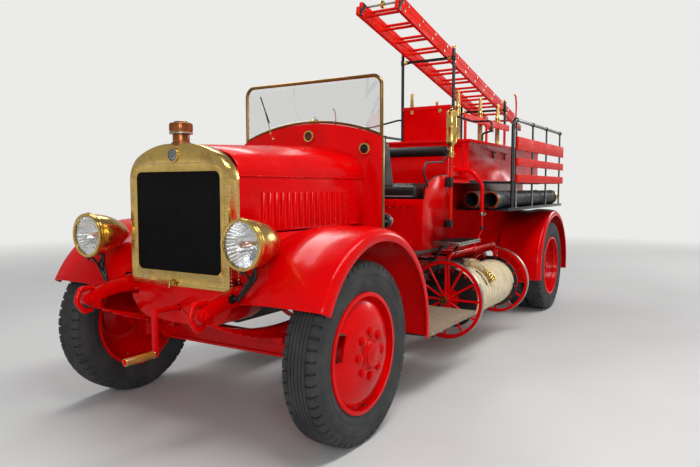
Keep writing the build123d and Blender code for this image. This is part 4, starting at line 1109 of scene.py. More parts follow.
@dataclass
class Radiator:
    """Brass radiator: rivets, fins and tubes, drain tap, blank boss, copper neck and knurled cap."""

    face: float = 2.713
    core_face: float = 2.7065
    half: float = 0.378
    core_half: float = 0.318
    core_low: float = 0.898
    core_high: float = 1.443
    corner: float = 0.038
    fins: int = 90
    tubes: int = 42
    rivet: float = 4.6 * MM
    neck: Flat = (2.6705, 0.0)

    def build(self) -> None:
        """Makes the brass work and the core's fins."""
        brass = Form()
        self.rivet_rows(brass)
        self.boss(brass)
        self.neck_and_cap(brass)
        self.drain_tap(brass)
        brass.piece("radiator_brightwork", "chassis", [BRASS, BLUE_ENAMEL, COPPER, STEEL], "brass")
        self.core().piece("radiator_fins", "chassis", [FIN_AND_SHADE_BLACK], "core_black")

    def rivet_rows(self, form: Form) -> None:
        """Rows of small rivets on the front and down the sides.

        Args:
            form: takes them.
        """
        x, z_head, z_foot, y_side = self.face, 1.490, 0.880, 0.349
        rows = [
            ((x, -0.330, z_head), (x, 0.330, z_head), 36),
            ((x, -0.320, z_foot), (x, 0.320, z_foot), 34),
            ((x, -y_side, 0.900), (x, -y_side, 1.430), 28),
            ((x, y_side, 0.900), (x, y_side, 1.430), 28),
        ]
        rows += [((x, -0.335, z), (x, -0.235, z), 8) for z in (0.862, 0.844)]
        rows += [((x, 0.225, z), (x, 0.345, z), 7) for z in (0.862, 0.846, 0.830)]
        for a, b, count in rows:
            form.rivets(spaced(a, b, count), AHEAD, self.rivet, 3)
        for side in (1, -1):
            for inset in (0.016, 0.071):
                a, b = (x - inset, side * self.half, 0.835), (x - inset, side * self.half, 1.375)
                form.rivets(spaced(a, b, 30), (0, side, 0), self.rivet, 3)

    def boss(self, form: Form) -> None:
        """A blank enamelled disc in a brass ring on the header.

        Args:
            form: takes them.
        """
        at = (self.face, -0.020, 1.535)
        form.hoop(at, AHEAD, 0.033, 0.042, -0.001, 0.007, 3 * MM, 48)
        form.hoop(at, AHEAD, 0.0, 0.0335, -0.001, 0.003, 0.5 * MM, 48, 1)
        form.hoop(at, AHEAD, 0.019, 0.022, 0.002, 0.0045, 1 * MM, 48)

    def neck_and_cap(self, form: Form) -> None:
        """Copper sleeve round the filler neck, with a ringed and knurled cap.

        Args:
            form: takes them.
        """
        x, y = self.neck
        form.hoop((x, y, 0), UP, 0.0385, 0.0455, 1.585, 1.649, 1 * MM, 48, 2)
        form.hoop((x, y, 0), UP, 0.0385, 0.0540, 1.590, 1.604, 4 * MM, 48, 2)
        form.hoop((x, y, 0), UP, 0.0385, 0.0640, 1.6485, 1.658, 3 * MM, 48, 3)
        form.hoop((x, y, 0), UP, 0.0, 0.0612, 1.656, 1.7095, 6 * MM, 48, 2)
        form.hoop((x, y, 0), UP, 0.0, 0.038, 1.709, 1.718, 4 * MM, 48, 2)
        for at in ring_of((x, y, 1.666), UP, 0.0608, 44):
            form.bar(at, (at.x, at.y, 1.700), 2.4 * MM, 6, 0.0, 2)

    def drain_tap(self, form: Form) -> None:
        """Drain tap in the bottom tank: body, key and spout.

        Args:
            form: takes them.
        """
        x, y, z = self.face, -0.040, 0.838
        form.bar((x, y, z), (x + 0.008, y, z), 0.016, 6, 1.5 * MM)
        form.bar((x, y, z), (x + 0.030, y, z), 0.010, 16, 2 * MM)
        form.bar((x + 0.020, y - 0.026, z + 0.004), (x + 0.020, y + 0.026, z - 0.004), 0.005, 12, 2 * MM)
        form.bar((x + 0.024, y, z), (x + 0.028, y, z - 0.030), 0.006, 12, 1 * MM)

    def core(self) -> Form:
        """Fins across and tubes up, cut short at the rounded corners.

        Returns:
            The form that holds them.
        """
        form, x = Form(), self.core_face
        middle = (self.core_low + self.core_high) / 2
        half_up = (self.core_high - self.core_low) / 2
        for k in range(self.fins):
            z = self.core_low + (k + 0.5) * 2 * half_up / self.fins
            reach = self.core_half - self.shortened(half_up - abs(z - middle))
            form.block((x - 0.001, -reach, z - 0.6 * MM), (x + 3.2 * MM, reach, z + 0.6 * MM))
        for k in range(self.tubes):
            y = -self.core_half + (k + 0.5) * 2 * self.core_half / self.tubes
            reach = half_up - self.shortened(self.core_half - abs(y))
            form.block(
                (x - 0.001, y - 1.4 * MM, middle - reach), (x + 1.8 * MM, y + 1.4 * MM, middle + reach)
            )
        return form

    def shortened(self, from_edge: float) -> float:
        """How much a line ends short at the corner's arc, by its distance from the edge."""
        rise = max(0.0, self.corner - from_edge)
        return self.corner - (self.corner**2 - rise**2) ** 0.5


@dataclass
class Bonnet:
    """Hinges, rivets, beads and catches of the bonnet."""

    front_x: float = 2.6257
    rear_x: float = 1.4663
    front_half: float = 0.372
    rear_half: float = 0.447
    hinge_z: float = 1.4205
    crown: Flat = (1.5925, 1.6465)

    def half(self, x: float) -> float:
        """Half the bonnet's width at a station."""
        share = (self.front_x - x) / (self.front_x - self.rear_x)
        return self.front_half + share * (self.rear_half - self.front_half)

    def side_point(self, x: float, z: float, proud: float = 0.0) -> Point:
        """A point of the left side panel's outer face."""
        return (x, self.half(x) + proud, z)

    def build(self) -> None:
        """Makes the hinge rods, panel rivets and catches."""
        hinges = Form()
        ends = [self.side_point(x, self.hinge_z, 1 * MM) for x in (self.front_x, self.rear_x)]
        knuckles = spaced(*ends, 25)
        for first, second in zip(knuckles, knuckles[1:]):
            hinges.bar(first.lerp(second, 0.02), first.lerp(second, 0.98), 5.5 * MM, 12, 1 * MM)
        hinges.both_sides()
        hinges.bar((self.front_x, 0, self.crown[0]), (self.rear_x, 0, self.crown[1]), 6 * MM, 12, 1 * MM)
        hinges.piece("bonnet_hinge_rods", "chassis", [RED_ENAMEL], "red_paint")
        panel = Form()
        out = (0.067, 1.0, 0.0)
        for x in (2.600, 2.545, 1.550, 1.495):
            panel.rivets(spaced(self.side_point(x, 1.130), self.side_point(x, 1.395), 10), out, 4 * MM)
        for z in (1.345, 1.385):
            panel.rivets(spaced(self.side_point(2.480, z), self.side_point(1.610, z), 30), out, 4 * MM)
        for x in (2.505, 1.590):
            self.catch(panel, x)
        panel.pair("bonnet_side_rivets_@", "bonnet_flap_@", [RED_ENAMEL, BRASS], "red_paint")

    def catch(self, form: Form, x: float) -> None:
        """A lifting handle low on the side panel.

        Args:
            form: takes it.
            x: its middle.
        """
        z, reach = 1.124, 0.028
        for end in (-reach, reach):
            foot = self.side_point(x + end, z)
            form.bar(foot, (foot[0], foot[1] + 0.004, z), 0.012, 16, 1 * MM)
        corners = ((-reach, 0.002), (-reach, 0.022), (reach, 0.022), (reach, 0.002))
        line = [self.side_point(x + along, z, proud) for along, proud in corners]
        form.pipe(line, 4.5 * MM, 0.012, 12)


@dataclass
class Screen:
    """The bulkhead's brass edges and port lamps, and the windscreen's wiper."""

    face: float = 1.464
    back: float = 1.439
    half: float = 0.594
    low: float = 0.885
    high: float = 1.693
    ports: tuple[Flat, Flat] = ((0.0, 1.722), (0.459, 1.619))
    glass_face: float = 1.4535

    def build(self) -> None:
        """Makes the pieces of the bulkhead and of the screen."""
        form = Form()
        for side in (1, -1):
            y0, y1 = sorted((side * (self.half - 0.001), side * (self.half + 0.005)))
            form.block((self.back - 0.003, y0, self.low), (self.face + 0.003, y1, self.high), 2 * MM, 0)
            x, y = self.face - 0.012, side * (self.half + 0.005)
            form.rivets(spaced((x, y, self.low + 0.03), (x, y, self.high - 0.03), 14), (0, side, 0), 4 * MM)
        for (y, z), glass in zip(self.ports, (2, 3)):
            self.port(form, y, z, glass)
        self.wiper(form)
        form.piece("bulkhead_brightwork", "chassis", [BROWN_BRASS, BRASS, RUBY_GLASS, BLACK_IRON], "brass")

    def port(self, form: Form, y: float, z: float, glass: int) -> None:
        """A round lamp let into the bulkhead, its can behind.

        Args:
            form: takes it.
            y: its middle across.
            z: its middle's height.
            glass: which finish its lens takes.
        """
        at = (self.face, y, z)
        form.hoop(at, AHEAD, 0.030, 0.043, -0.001, 0.010, 4 * MM, 48, 1)
        form.ball((self.face + 0.001, y, z), (0.007, 0.0315, 0.0315), glass, 24)
        form.hoop(at, BACK, 0.0, 0.040, 0.0255, 0.070, 5 * MM, 40, 1)

    def wiper(self, form: Form) -> None:
        """Hand wiper on the far side of the screen: spindle, arm, blade and knob.

        Args:
            form: takes them.
        """
        x = self.glass_face
        pivot, knob = (x + 0.006, -0.350, 1.761), (x + 0.010, -0.324, 1.715)
        form.bar((x - 0.010, -0.350, 1.761), (x + 0.012, -0.350, 1.761), 0.009, 16, 1 * MM, 1)
        form.pipe([knob, pivot, (x + 0.008, -0.406, 1.930)], 3 * MM, 0.01, 8, 1)
        form.ball(knob, (0.011, 0.011, 0.011), 1, 16)
        form.bar((x + 0.004, -0.448, 2.034), (x + 0.004, -0.365, 1.836), 5 * MM, 8, 1 * MM, 3)


@dataclass
class Headlamps:
    """Bezels, fluted reflectors, bulbs and forked struts of the two lamps."""

    lens: Point = (2.858, 0.586, 1.083)
    radius: float = 0.125
    mouth: float = 0.1105
    flutes: int = 40
    depth: float = 0.120

    def build(self) -> None:
        """Makes both lamps' fittings."""
        form, (x, y, z) = Form(), self.lens
        foot, crown, stem = z - self.radius, z + self.radius, x - 0.006
        form.hoop(self.lens, BACK, 0.1125, self.radius + 0.003, -0.005, 0.006, 4 * MM, 72)
        form.hoop(self.lens, BACK, self.radius - 0.006, self.radius + 0.002, 0.014, 0.026, 4 * MM, 72)
        form.bar((stem, y, foot - 0.012), (stem, y, foot + 0.004), 0.011, 16, 2 * MM, 1)
        form.bar((stem, y, foot - 0.024), (stem, y, foot - 0.012), 0.006, 12, 2 * MM, 1)
        form.bar((x - 0.015, y, crown - 0.004), (x - 0.015, y, crown + 0.007), 0.010, 6, 2 * MM)
        front = [(self.mouth * s, self.bowl(s)) for s in (1.0, 0.9, 0.8, 0.68, 0.55, 0.42, 0.28, 0.16)]
        rear = [(r, d + 2 * MM) for r, d in reversed(front)]
        form.turned(self.lens, BACK, front + rear, 2 * self.flutes, 2, self.flute)
        form.bar((x - self.depth, y, z), (x - self.depth + 0.045, y, z), 0.012, 16, 2 * MM)
        form.ball((x - self.depth + 0.062, y, z), (0.024, 0.018, 0.018), 3, 24)
        fork = (x - 0.068, y - 0.004, z - 0.178)
        for toe in (x - 0.115, x - 0.020):
            form.bar(fork, (toe, y, foot + 0.008), 0.007, 12, 0.0, 1)
        form.bar((x - 0.068, 0.498, 0.800), fork, 0.010, 16, 3 * MM, 1)
        form.pair("headlamp_@_fittings", "chassis", [BRASS, BLACK_IRON, SILVER, AMBER_GLASS], "brass")

    def bowl(self, share: float) -> float:
        """Depth of the reflector behind the lens plane, by the share of the mouth's radius."""
        return 0.014 + (self.depth - 0.014) * (1 - share**2)

    def flute(self, own: Mesh) -> None:
        """Draws every second line of the reflector inwards, which leaves flutes.

        Args:
            own: the turned reflector.
        """
        x, y, z = self.lens
        for vert in own.verts:
            turn = atan2(vert.co.z - z, vert.co.y - y) / (2 * pi) * 2 * self.flutes
            if round(turn) % 2:
                vert.co.y = y + (vert.co.y - y) * 0.975
                vert.co.z = z + (vert.co.z - z) * 0.975


@dataclass
class Guards:
    """Beaded edges and rivets of the four guards."""

    front_centre: Flat = (2.240, 0.520)
    rear_centre: Flat = (-1.940, 0.490)
    front_out: float = 1.030
    rear_out: float = 0.935
    bead: float = 4.5 * MM
    edge_r: float = 0.5605
    crown_r: float = 0.6235
    side_r: float = 0.575

    def ring(
        self, centre: Flat, radius: float, y: float, start: float, end: float, steps: int
    ) -> list[Point]:
        """Points along an arc in a vertical plane, angles in degrees."""
        return [(u, y, v) for u, v in arc_points(centre, radius, start, end, steps)]

    def build(self) -> None:
        """Makes beads and rivets, front and rear."""
        form = Form()
        lip_angle = 25.7
        skirt_y = self.front_out - self.bead
        edge = self.ring(self.front_centre, self.edge_r, skirt_y, lip_angle, 180, 40)
        form.pipe(edge + [(edge[-1][0], edge[-1][1], 0.441)], self.bead, 0.0, 10)
        lip = [(self.edge_r, skirt_y), (0.584, skirt_y)]
        lip += arc_through((0.584, skirt_y), (0.608, 1.016), (0.622, 0.986), 4)[1:]
        lip += arc_through((0.622, 0.986), (0.629, 0.920), (0.6295, 0.820), 4)[1:]
        inner = arc_through((0.6295, 0.820), (0.6155, 0.610), (0.500, 0.340), 12)[1:]
        lip += [p for p in inner if p[1] > 0.466]
        turn = radians(lip_angle)
        u, v = self.front_centre
        form.pipe([(u + r * cos(turn), y, v + r * sin(turn)) for r, y in lip], self.bead, 0.02, 10)
        for angle in range(28, 180, 4):
            at = radians(angle)
            spot = (u + self.crown_r * cos(at), self.front_out - 0.055, v + self.crown_r * sin(at))
            form.rivet(spot, (cos(at), 0, sin(at)), 5 * MM)
        u, v = self.rear_centre
        edge = self.ring(self.rear_centre, self.edge_r, self.rear_out - 2.5 * MM, -9, 189, 48)
        form.pipe(edge, self.bead, 0.0, 10)
        for angle in range(-6, 189, 4):
            at = radians(angle)
            spot = (u + self.side_r * cos(at), self.rear_out, v + self.side_r * sin(at))
            form.rivet(spot, ACROSS, 5 * MM)
        form.pair("guard_beads_@", "chassis", [RED_ENAMEL], "red_paint")


@dataclass
class Torches:
    """The two torches on the cab's sides: red staff, black sleeves, brass head with cup and loop."""

    x: float = 0.440
    y: float = 0.664
    foot: float = 1.040
    clips: tuple[Flat, Flat] = ((1.040, 1.098), (1.365, 1.440))
    cab_side: float = 0.6203

    def build(self) -> None:
        """Makes both torches."""
        form, at = Form(), (self.x, self.y, 0.0)
        form.bar((self.x, self.y, self.foot), (self.x, self.y, 1.606), 0.0135, 20, 2 * MM, 1)
        for low, high in self.clips:
            form.hoop(at, UP, 0.0, 0.0175, low - 0.004, high + 0.004, 2 * MM, 24, 2)
            start, end = (self.x - 0.024, self.cab_side, low), (self.x + 0.024, self.y - 0.006, high)
            form.block(start, end, 3 * MM, 2)
            for z in (low + 0.012, high - 0.012):
                form.nut((self.x - 0.0245, (self.cab_side + self.y) / 2, z), BACK, 0.011, 0.005, 3)
        head = [
            (0.0, 1.598), (0.019, 1.598), (0.021, 1.604), (0.019, 1.611), (0.0165, 1.616), (0.0165, 1.686),
            (0.021, 1.690), (0.027, 1.701), (0.0405, 1.713), (0.0425, 1.719), (0.0410, 1.724),
            (0.0410, 1.828), (0.0432, 1.832), (0.0432, 1.842), (0.0410, 1.846), (0.0410, 1.950),
            (0.0428, 1.954), (0.0428, 1.960), (0.0370, 1.968), (0.0270, 1.976), (0.012, 1.981),
            (0.009, 1.986), (0.0, 1.986),
        ]
        form.turned(at, UP, head, 40)
        form.hoop((self.x, self.y, 1.993), AHEAD, 0.007, 0.0105, -2 * MM, 2 * MM, 1.2 * MM, 20)
        rear = self.x - 0.045
        for z in (1.628, 1.528):
            hook = [(rear, self.cab_side, z), (rear, self.y + 0.012, z), (self.x - 0.008, self.y + 0.020, z)]
            form.pipe(hook, 4 * MM, 0.012, 10)
        form.both_sides().piece(
            "torch_pair", "chassis", [BRASS, RED_WOOD, BLACK_IRON, STEEL], "brass", ["torches"]
        )


@dataclass
class FrontEnd:
    """The starting handle's grip and the nuts of the tow hooks."""

    def build(self) -> None:
        """Makes the small fittings between the dumb irons."""
        form = Form()
        form.hoop((0, 0, 0.475), AHEAD, 0.0, 0.0190, 2.900, 3.070, 5 * MM, 24, 1)
        form.hoop((0, 0, 0.475), AHEAD, 0.0, 0.0205, 2.890, 2.901, 2 * MM, 24, 2)
        form.hoop((0, 0, 0.475), AHEAD, 0.0, 0.0205, 3.069, 3.0798, 4 * MM, 24, 2)
        for y in (0.405, 0.460):
            out = (0, 1 if y > 0.43 else -1, 0)
            form.nut((2.965, y, 0.745), out, 0.040, 0.014)
            form.nut((2.965, -y, 0.745), (0, -out[1], 0), 0.040, 0.014)
        form.piece("front_end_fittings", "chassis", [RED_ENAMEL, GRIP_WOOD, BRASS], "red_paint")


# Cab


@dataclass
class Upholstery:
    """Bench cushion, back roll and wing pads, blown up by cloth simulation, with their piping."""

    voxel: float = 9 * MM
    pressure: float = 4.0
    last_frame: int = 20
    cushion: tuple[Point, Point] = ((0.4005, -0.5995, 1.2705), (0.925, 0.5995, 1.392))
    roll_x: float = 0.390
    roll_z: float = 1.651
    roll_r: float = 0.052
    roll_half: float = 0.6195
    board_top: float = 1.6005

    def build(self) -> None:
        """Makes the padded pieces and what is sewn on them."""
        low, high = (Vector(corner) for corner in self.cushion)
        bench = Form()
        start, end = low + Vector((0.014, 0.016, 0.001)), high - Vector((0.030, 0.016, 0.022))
        bench.block(start, end, 0.026)
        seat = self.padded(bench, "bench_cushion", 0.024, (low, high), ["seat_cushion"])
        back = Form()
        x, z, reach = self.roll_x, self.roll_z + 0.003, self.roll_half - 0.010
        back.bar((x, -reach, z), (x, reach, z), self.roll_r - 0.009, 32, 0.012)
        room = (
            Vector((x - 0.060, -self.roll_half, self.board_top)), Vector((x + 0.060, self.roll_half, 1.712))
        )
        self.padded(back, "back_roll", 0.016, room, ["leather_pads"])
        for side in Side:
            self.wing(side)
        self.piping(seat, low, high)

    def wing(self, side: Side) -> None:
        """A pad on the bulkhead's rear edge, wider at its foot.

        Args:
            side: which one.
        """
        form = Form()
        inner, outer = sorted((side.value * 0.548, side.value * 0.580))
        form.plate(
            Plane.XZ, [(1.432, 1.352), (1.432, 1.682), (1.338, 1.672), (1.262, 1.358)], inner, outer, 0.010
        )
        edges = sorted((side.value * 0.5405, side.value * 0.5855))
        room = (Vector((1.245, edges[0], 1.343)), Vector((1.4385, edges[1], 1.692)))
        self.padded(form, f"wing_pad_{side.word}", 0.012, room, [])

    def padded(
        self, form: Form, name: str, cap: float, room: tuple[Vector, Vector], replaces: list[str]
    ) -> bpy.types.Object:
        """Remeshes a form, blows it up and keeps it in its room.

        Args:
            form: the slightly smaller starting shape.
            name: the piece's name.
            cap: how far a point may move.
            room: lowest and highest corners of the space it has.
            replaces: nodes it stands for.

        Returns:
            The finished piece.
        """
        piece = form.piece(name, "chassis", [LEATHER], "leather", replaces)
        remesh = piece.modifiers.new("even", "REMESH")
        remesh.mode, remesh.voxel_size = "VOXEL", self.voxel
        self.bake(piece)
        start = [v.co.copy() for v in piece.data.vertices]
        self.blow_up(piece)
        low, high = room
        for vert, before in zip(piece.data.vertices, start):
            moved = vert.co - before
            if moved.length > cap:
                moved *= cap / moved.length
            here = before + moved
            vert.co = Vector(max(low[k], min(high[k], here[k])) for k in range(3))
        ease = piece.modifiers.new("ease", "SMOOTH")
        ease.iterations, ease.factor = 2, 0.5
        smooth = piece.modifiers.new("smooth", "SUBSURF")
        smooth.levels = smooth.render_levels = 1
        self.bake(piece)
        piece.data.polygons.foreach_set("use_smooth", [True] * len(piece.data.polygons))
        return piece

    def blow_up(self, piece: bpy.types.Object) -> None:
        """Runs the cloth simulation and keeps its result.

        Args:
            piece: the remeshed piece.
        """
        cloth = piece.modifiers.new("cloth", "CLOTH")
        cloth.settings.use_pressure = True
        cloth.settings.uniform_pressure_force = self.pressure
        cloth.settings.effector_weights.gravity = 0.0
        cloth.settings.quality = 4
        cloth.point_cache.frame_end = self.last_frame
        scene = bpy.context.scene
        for number in range(1, self.last_frame + 1):
            scene.frame_set(number)
        self.bake(piece)
        scene.frame_set(1)

    def bake(self, piece: bpy.types.Object) -> None:
        """Replaces the piece's mesh with the one its modifiers give, and takes them off.

        Args:
            piece: the piece.
        """
        shown = piece.evaluated_get(bpy.context.evaluated_depsgraph_get())
        made = bpy.data.meshes.new_from_object(shown)
        piece.modifiers.clear()
        old, piece.data = piece.data, made
        bpy.data.meshes.remove(old)
        if not made.materials:
            made.materials.append(LEATHER.material())

    def piping(self, seat: bpy.types.Object, low: Vector, high: Vector) -> None:
        """Welts along the cushion's front, laid on the swollen hide.

        Args:
            seat: the finished cushion.
            low: the cushion's lowest corner.
            high: its highest corner.
        """
        own = bmesh.new()
        own.from_mesh(seat.data)
        skin = BVHTree.FromBMesh(own)
        form = Form()
        for z in (1.292, 1.366):
            line = []
            for y in (low.y + 0.03 + k * (high.y - low.y - 0.06) / 36 for k in range(37)):
                hit = skin.ray_cast(Vector((1.2, y, z)), Vector(BACK))[0]
                if hit:
                    line.append((hit.x + 1 * MM, y, z))
            form.pipe(line, 4.5 * MM, 0.0, 8)
        own.free()
        for side in (1, -1):
            centre, end = (self.roll_x, 0, self.roll_z + 0.002), self.roll_half
            form.hoop(centre, (0, side, 0), 0.0, 0.016, end - 0.004, end + 0.002, 3 * MM, 24)
        form.piece("seat_welts", "chassis", [GREY_WELT], "leather")


@dataclass
class CabFittings:
    """Edging and arm rails of the seat, levers, pedals, blank dials and the hand siren."""

    side: float = 0.610

    def build(self) -> None:
        """Makes the cab's small pieces."""
        form = Form()
        fall = arc_through((0.530, 1.4505), (0.700, 1.4205), (0.820, 1.3705), 8)
        top = [(0.404, 1.4605), *fall, (0.8405, 1.275)]
        form.pipe([(x, self.side, z) for x, z in top], 7 * MM, 0.0, 10, 0)
        for z in (1.205, 0.950):
            form.rivets(spaced((0.8805, 0.095, z), (0.8805, 0.530, z), 8), AHEAD, 4 * MM, 3)
        rail_y = self.side + 0.0183
        rail = [(0.394, 1.656), (0.530, 1.560), (0.840, 1.545), (0.890, 1.470), (0.806, 1.366)]
        form.pipe([(x, rail_y, z) for x, z in rail], 8 * MM, 0.045, 14, 0)
        form.both_sides()
        self.hand_and_foot(form)
        for y, z, radius in ((-0.120, 1.470, 0.052), (0.010, 1.470, 0.038)):
            at = (1.4385, y, z)
            form.hoop(at, BACK, radius - 0.008, radius, -0.001, 0.016, 3 * MM, 40, 1)
            form.hoop(at, BACK, 0.0, radius - 0.006, -0.001, 0.010, 1 * MM, 40, 2)
            form.bar((1.428, y, z), (1.428, y + radius * 0.45, z + radius * 0.4), 1.5 * MM, 6, 0.0, 0)
        form.bar((1.4385, -0.200, 1.400), (1.4085, -0.200, 1.400), 0.012, 16, 2 * MM, 1)
        self.hooter(form)
        form.piece("cab_fittings", "chassis", [BLACK_IRON, BRASS, DIAL_WHITE, STEEL], "black_iron")

    def hand_and_foot(self, form: Form) -> None:
        """Gear and brake levers on the floor, and three pedals square off the toe board.

        Args:
            form: takes them.
        """
        for x, lean in ((1.010, 0.070), (1.090, 0.040)):
            form.block((x - 0.025, -0.578, 0.8853), (x + 0.025, -0.542, 0.905), 3 * MM, 0)
            form.bar((x, -0.560, 0.895), (x + lean, -0.560, 1.260), 9 * MM, 14, 0.0, 0)
            form.ball((x + lean, -0.560, 1.268), (0.020, 0.020, 0.022), 0, 20)
        out, foot = Vector((-0.715, 0.0, 0.699)), Vector((1.326, 0.0, 1.000))
        for y in (-0.500, -0.250, -0.170):
            points = [foot + Vector((0, y, 0)) + out * reach for reach in (0.0, 0.062, 0.072)]
            form.bar(points[0], points[2], 7 * MM, 12, 0.0, 0)
            form.bar(points[1], points[2], 30 * MM, 24, 2 * MM, 0)

    def hooter(self, form: Form) -> None:
        """Hand siren on a black bar behind the bulkhead's edge.

        Args:
            form: takes it.
        """
        x, y, z = 1.400, 0.560, 1.130
        form.block((x - 0.012, 0.520, z - 0.008), (1.4385, 0.600, z + 0.008), 2 * MM, 0)
        form.hoop((x, y, z), BACK, 0.0, 0.046, 0.010, 0.060, 8 * MM, 40, 0)
        form.hoop((x, y, z), BACK, 0.030, 0.048, 0.056, 0.066, 3 * MM, 40, 3)
        form.bar((x - 0.066, y, z), (x - 0.100, y, z), 0.020, 24, 2 * MM, 3, 0.034)


# Body


@dataclass
class BodyTrim:
    """Mouldings, black edges, roof handrails, catches and hinges of the body."""

    front: float = 0.020
    rear: float = -2.230
    box_half: float = 0.650
    deck: Flat = (1.395, 1.420)
    deck_half: float = 0.662
    top: float = 1.775

    def build(self) -> None:
        """Makes the body's trim and the tailboard's."""
        form, side, out = Form(), self.box_half, self.deck_half
        low, high = self.deck[0] - 0.001, self.deck[1] + 0.001
        form.block((self.rear, out, low), (self.front, out + 0.004, high), 1.5 * MM, 1)
        for z, radius in ((1.7505, 5 * MM), (1.424, 4 * MM)):
            ends = [(x, side + 0.002, z) for x in (self.rear + 0.002, self.front - 0.004)]
            form.pipe(ends, radius, 0.0, 10)
        handrail = [
            (-0.550, 0.245, 2.037), (-0.550, 0.325, 2.037), (-0.400, 0.530, 1.967), (-0.400, 0.708, 1.961),
            (-0.400, 0.708, 1.871), (-0.400, 0.620, 1.853), (-0.400, 0.620, self.top),
        ]
        form.pipe(handrail, 9 * MM, 0.034, 12, 1)
        for x in (-0.356, -0.476):
            form.hoop((x, side, 1.720), ACROSS, 0.0, 0.013, -0.001, 0.0015, 0.5 * MM, 24, 1)
        for x in (-0.640, -0.980):
            form.block((x - 0.010, side - 0.001, 1.630), (x + 0.010, side + 0.006, 1.700), 2 * MM, 1)
            form.bar((x, side + 0.004, 1.690), (x, side + 0.022, 1.690), 0.007, 16, 1 * MM, 1)
        self.frame_moulding(form, (0.050, 0.600), (1.455, 1.725))
        for x in (-0.10, -0.75, -1.40, -2.05):
            form.rivets(spaced((x, side, 1.445), (x, side, 1.735), 9), ACROSS, 4 * MM)
        form.both_sides()
        form.block((self.front, -out, low), (self.front + 0.004, out, high), 1.5 * MM, 1)
        form.block((-0.520, -0.252, 2.120), (-0.5135, 0.252, 2.132), 2 * MM, 0)
        for y in (-0.150, 0.150):
            form.block((-0.5205, y - 0.016, 2.085), (-0.5145, y + 0.016, 2.128), 2 * MM, 2)
            form.bar((-0.5145, y, 2.098), (-0.500, y, 2.098), 0.007, 16, 1 * MM, 2)
        form.piece("body_trim", "chassis", [RED_ENAMEL, BLACK_IRON, BRASS], "red_paint")
        self.tailboard().piece("tailboard_trim", "tailboard", [BLACK_IRON, BRASS, RED_ENAMEL], "black_iron")

    def frame_moulding(self, form: Form, across: Flat, up: Flat) -> None:
        """A raised half-round border on the box's front face.

        Args:
            form: takes it.
            across: from and to in Y.
            up: from and to in Z.
        """
        x, (y0, y1), (z0, z1) = self.front + 0.001, across, up
        corners = [(x, y0, z0), (x, y1, z0), (x, y1, z1), (x, y0, z1)]
        for a, b in zip(corners, corners[1:] + corners[:1]):
            form.bar(a, b, 7 * MM, 12)
            form.ball(a, (7 * MM, 7 * MM, 7 * MM), 0, 12)

    def tailboard(self) -> Form:
        """Strap hinges, a latch each side and a grab rail on the tailboard.

        Returns:
            The form that holds them.
        """
        form, x = Form(), -2.2285
        for y in (-0.420, 0.420):
            form.block((x - 0.005, y - 0.022, 1.424), (x, y + 0.022, 1.640), 2 * MM)
            for z in (1.470, 1.530, 1.590):
                form.rivet((x - 0.005, y, z), BACK, 6 * MM)
            form.block((x - 0.008, y - 0.045, 1.700), (x, y + 0.045, 1.718), 2 * MM, 1)
            form.bar((x - 0.004, y, 1.709), (x - 0.026, y, 1.709), 0.008, 16, 1 * MM, 1)
        rail = [(x, -0.180, 1.600), (x - 0.045, -0.180, 1.600), (x - 0.045, 0.180, 1.600), (x, 0.180, 1.600)]
        form.pipe(rail, 8 * MM, 0.03, 12, 1)
        return form


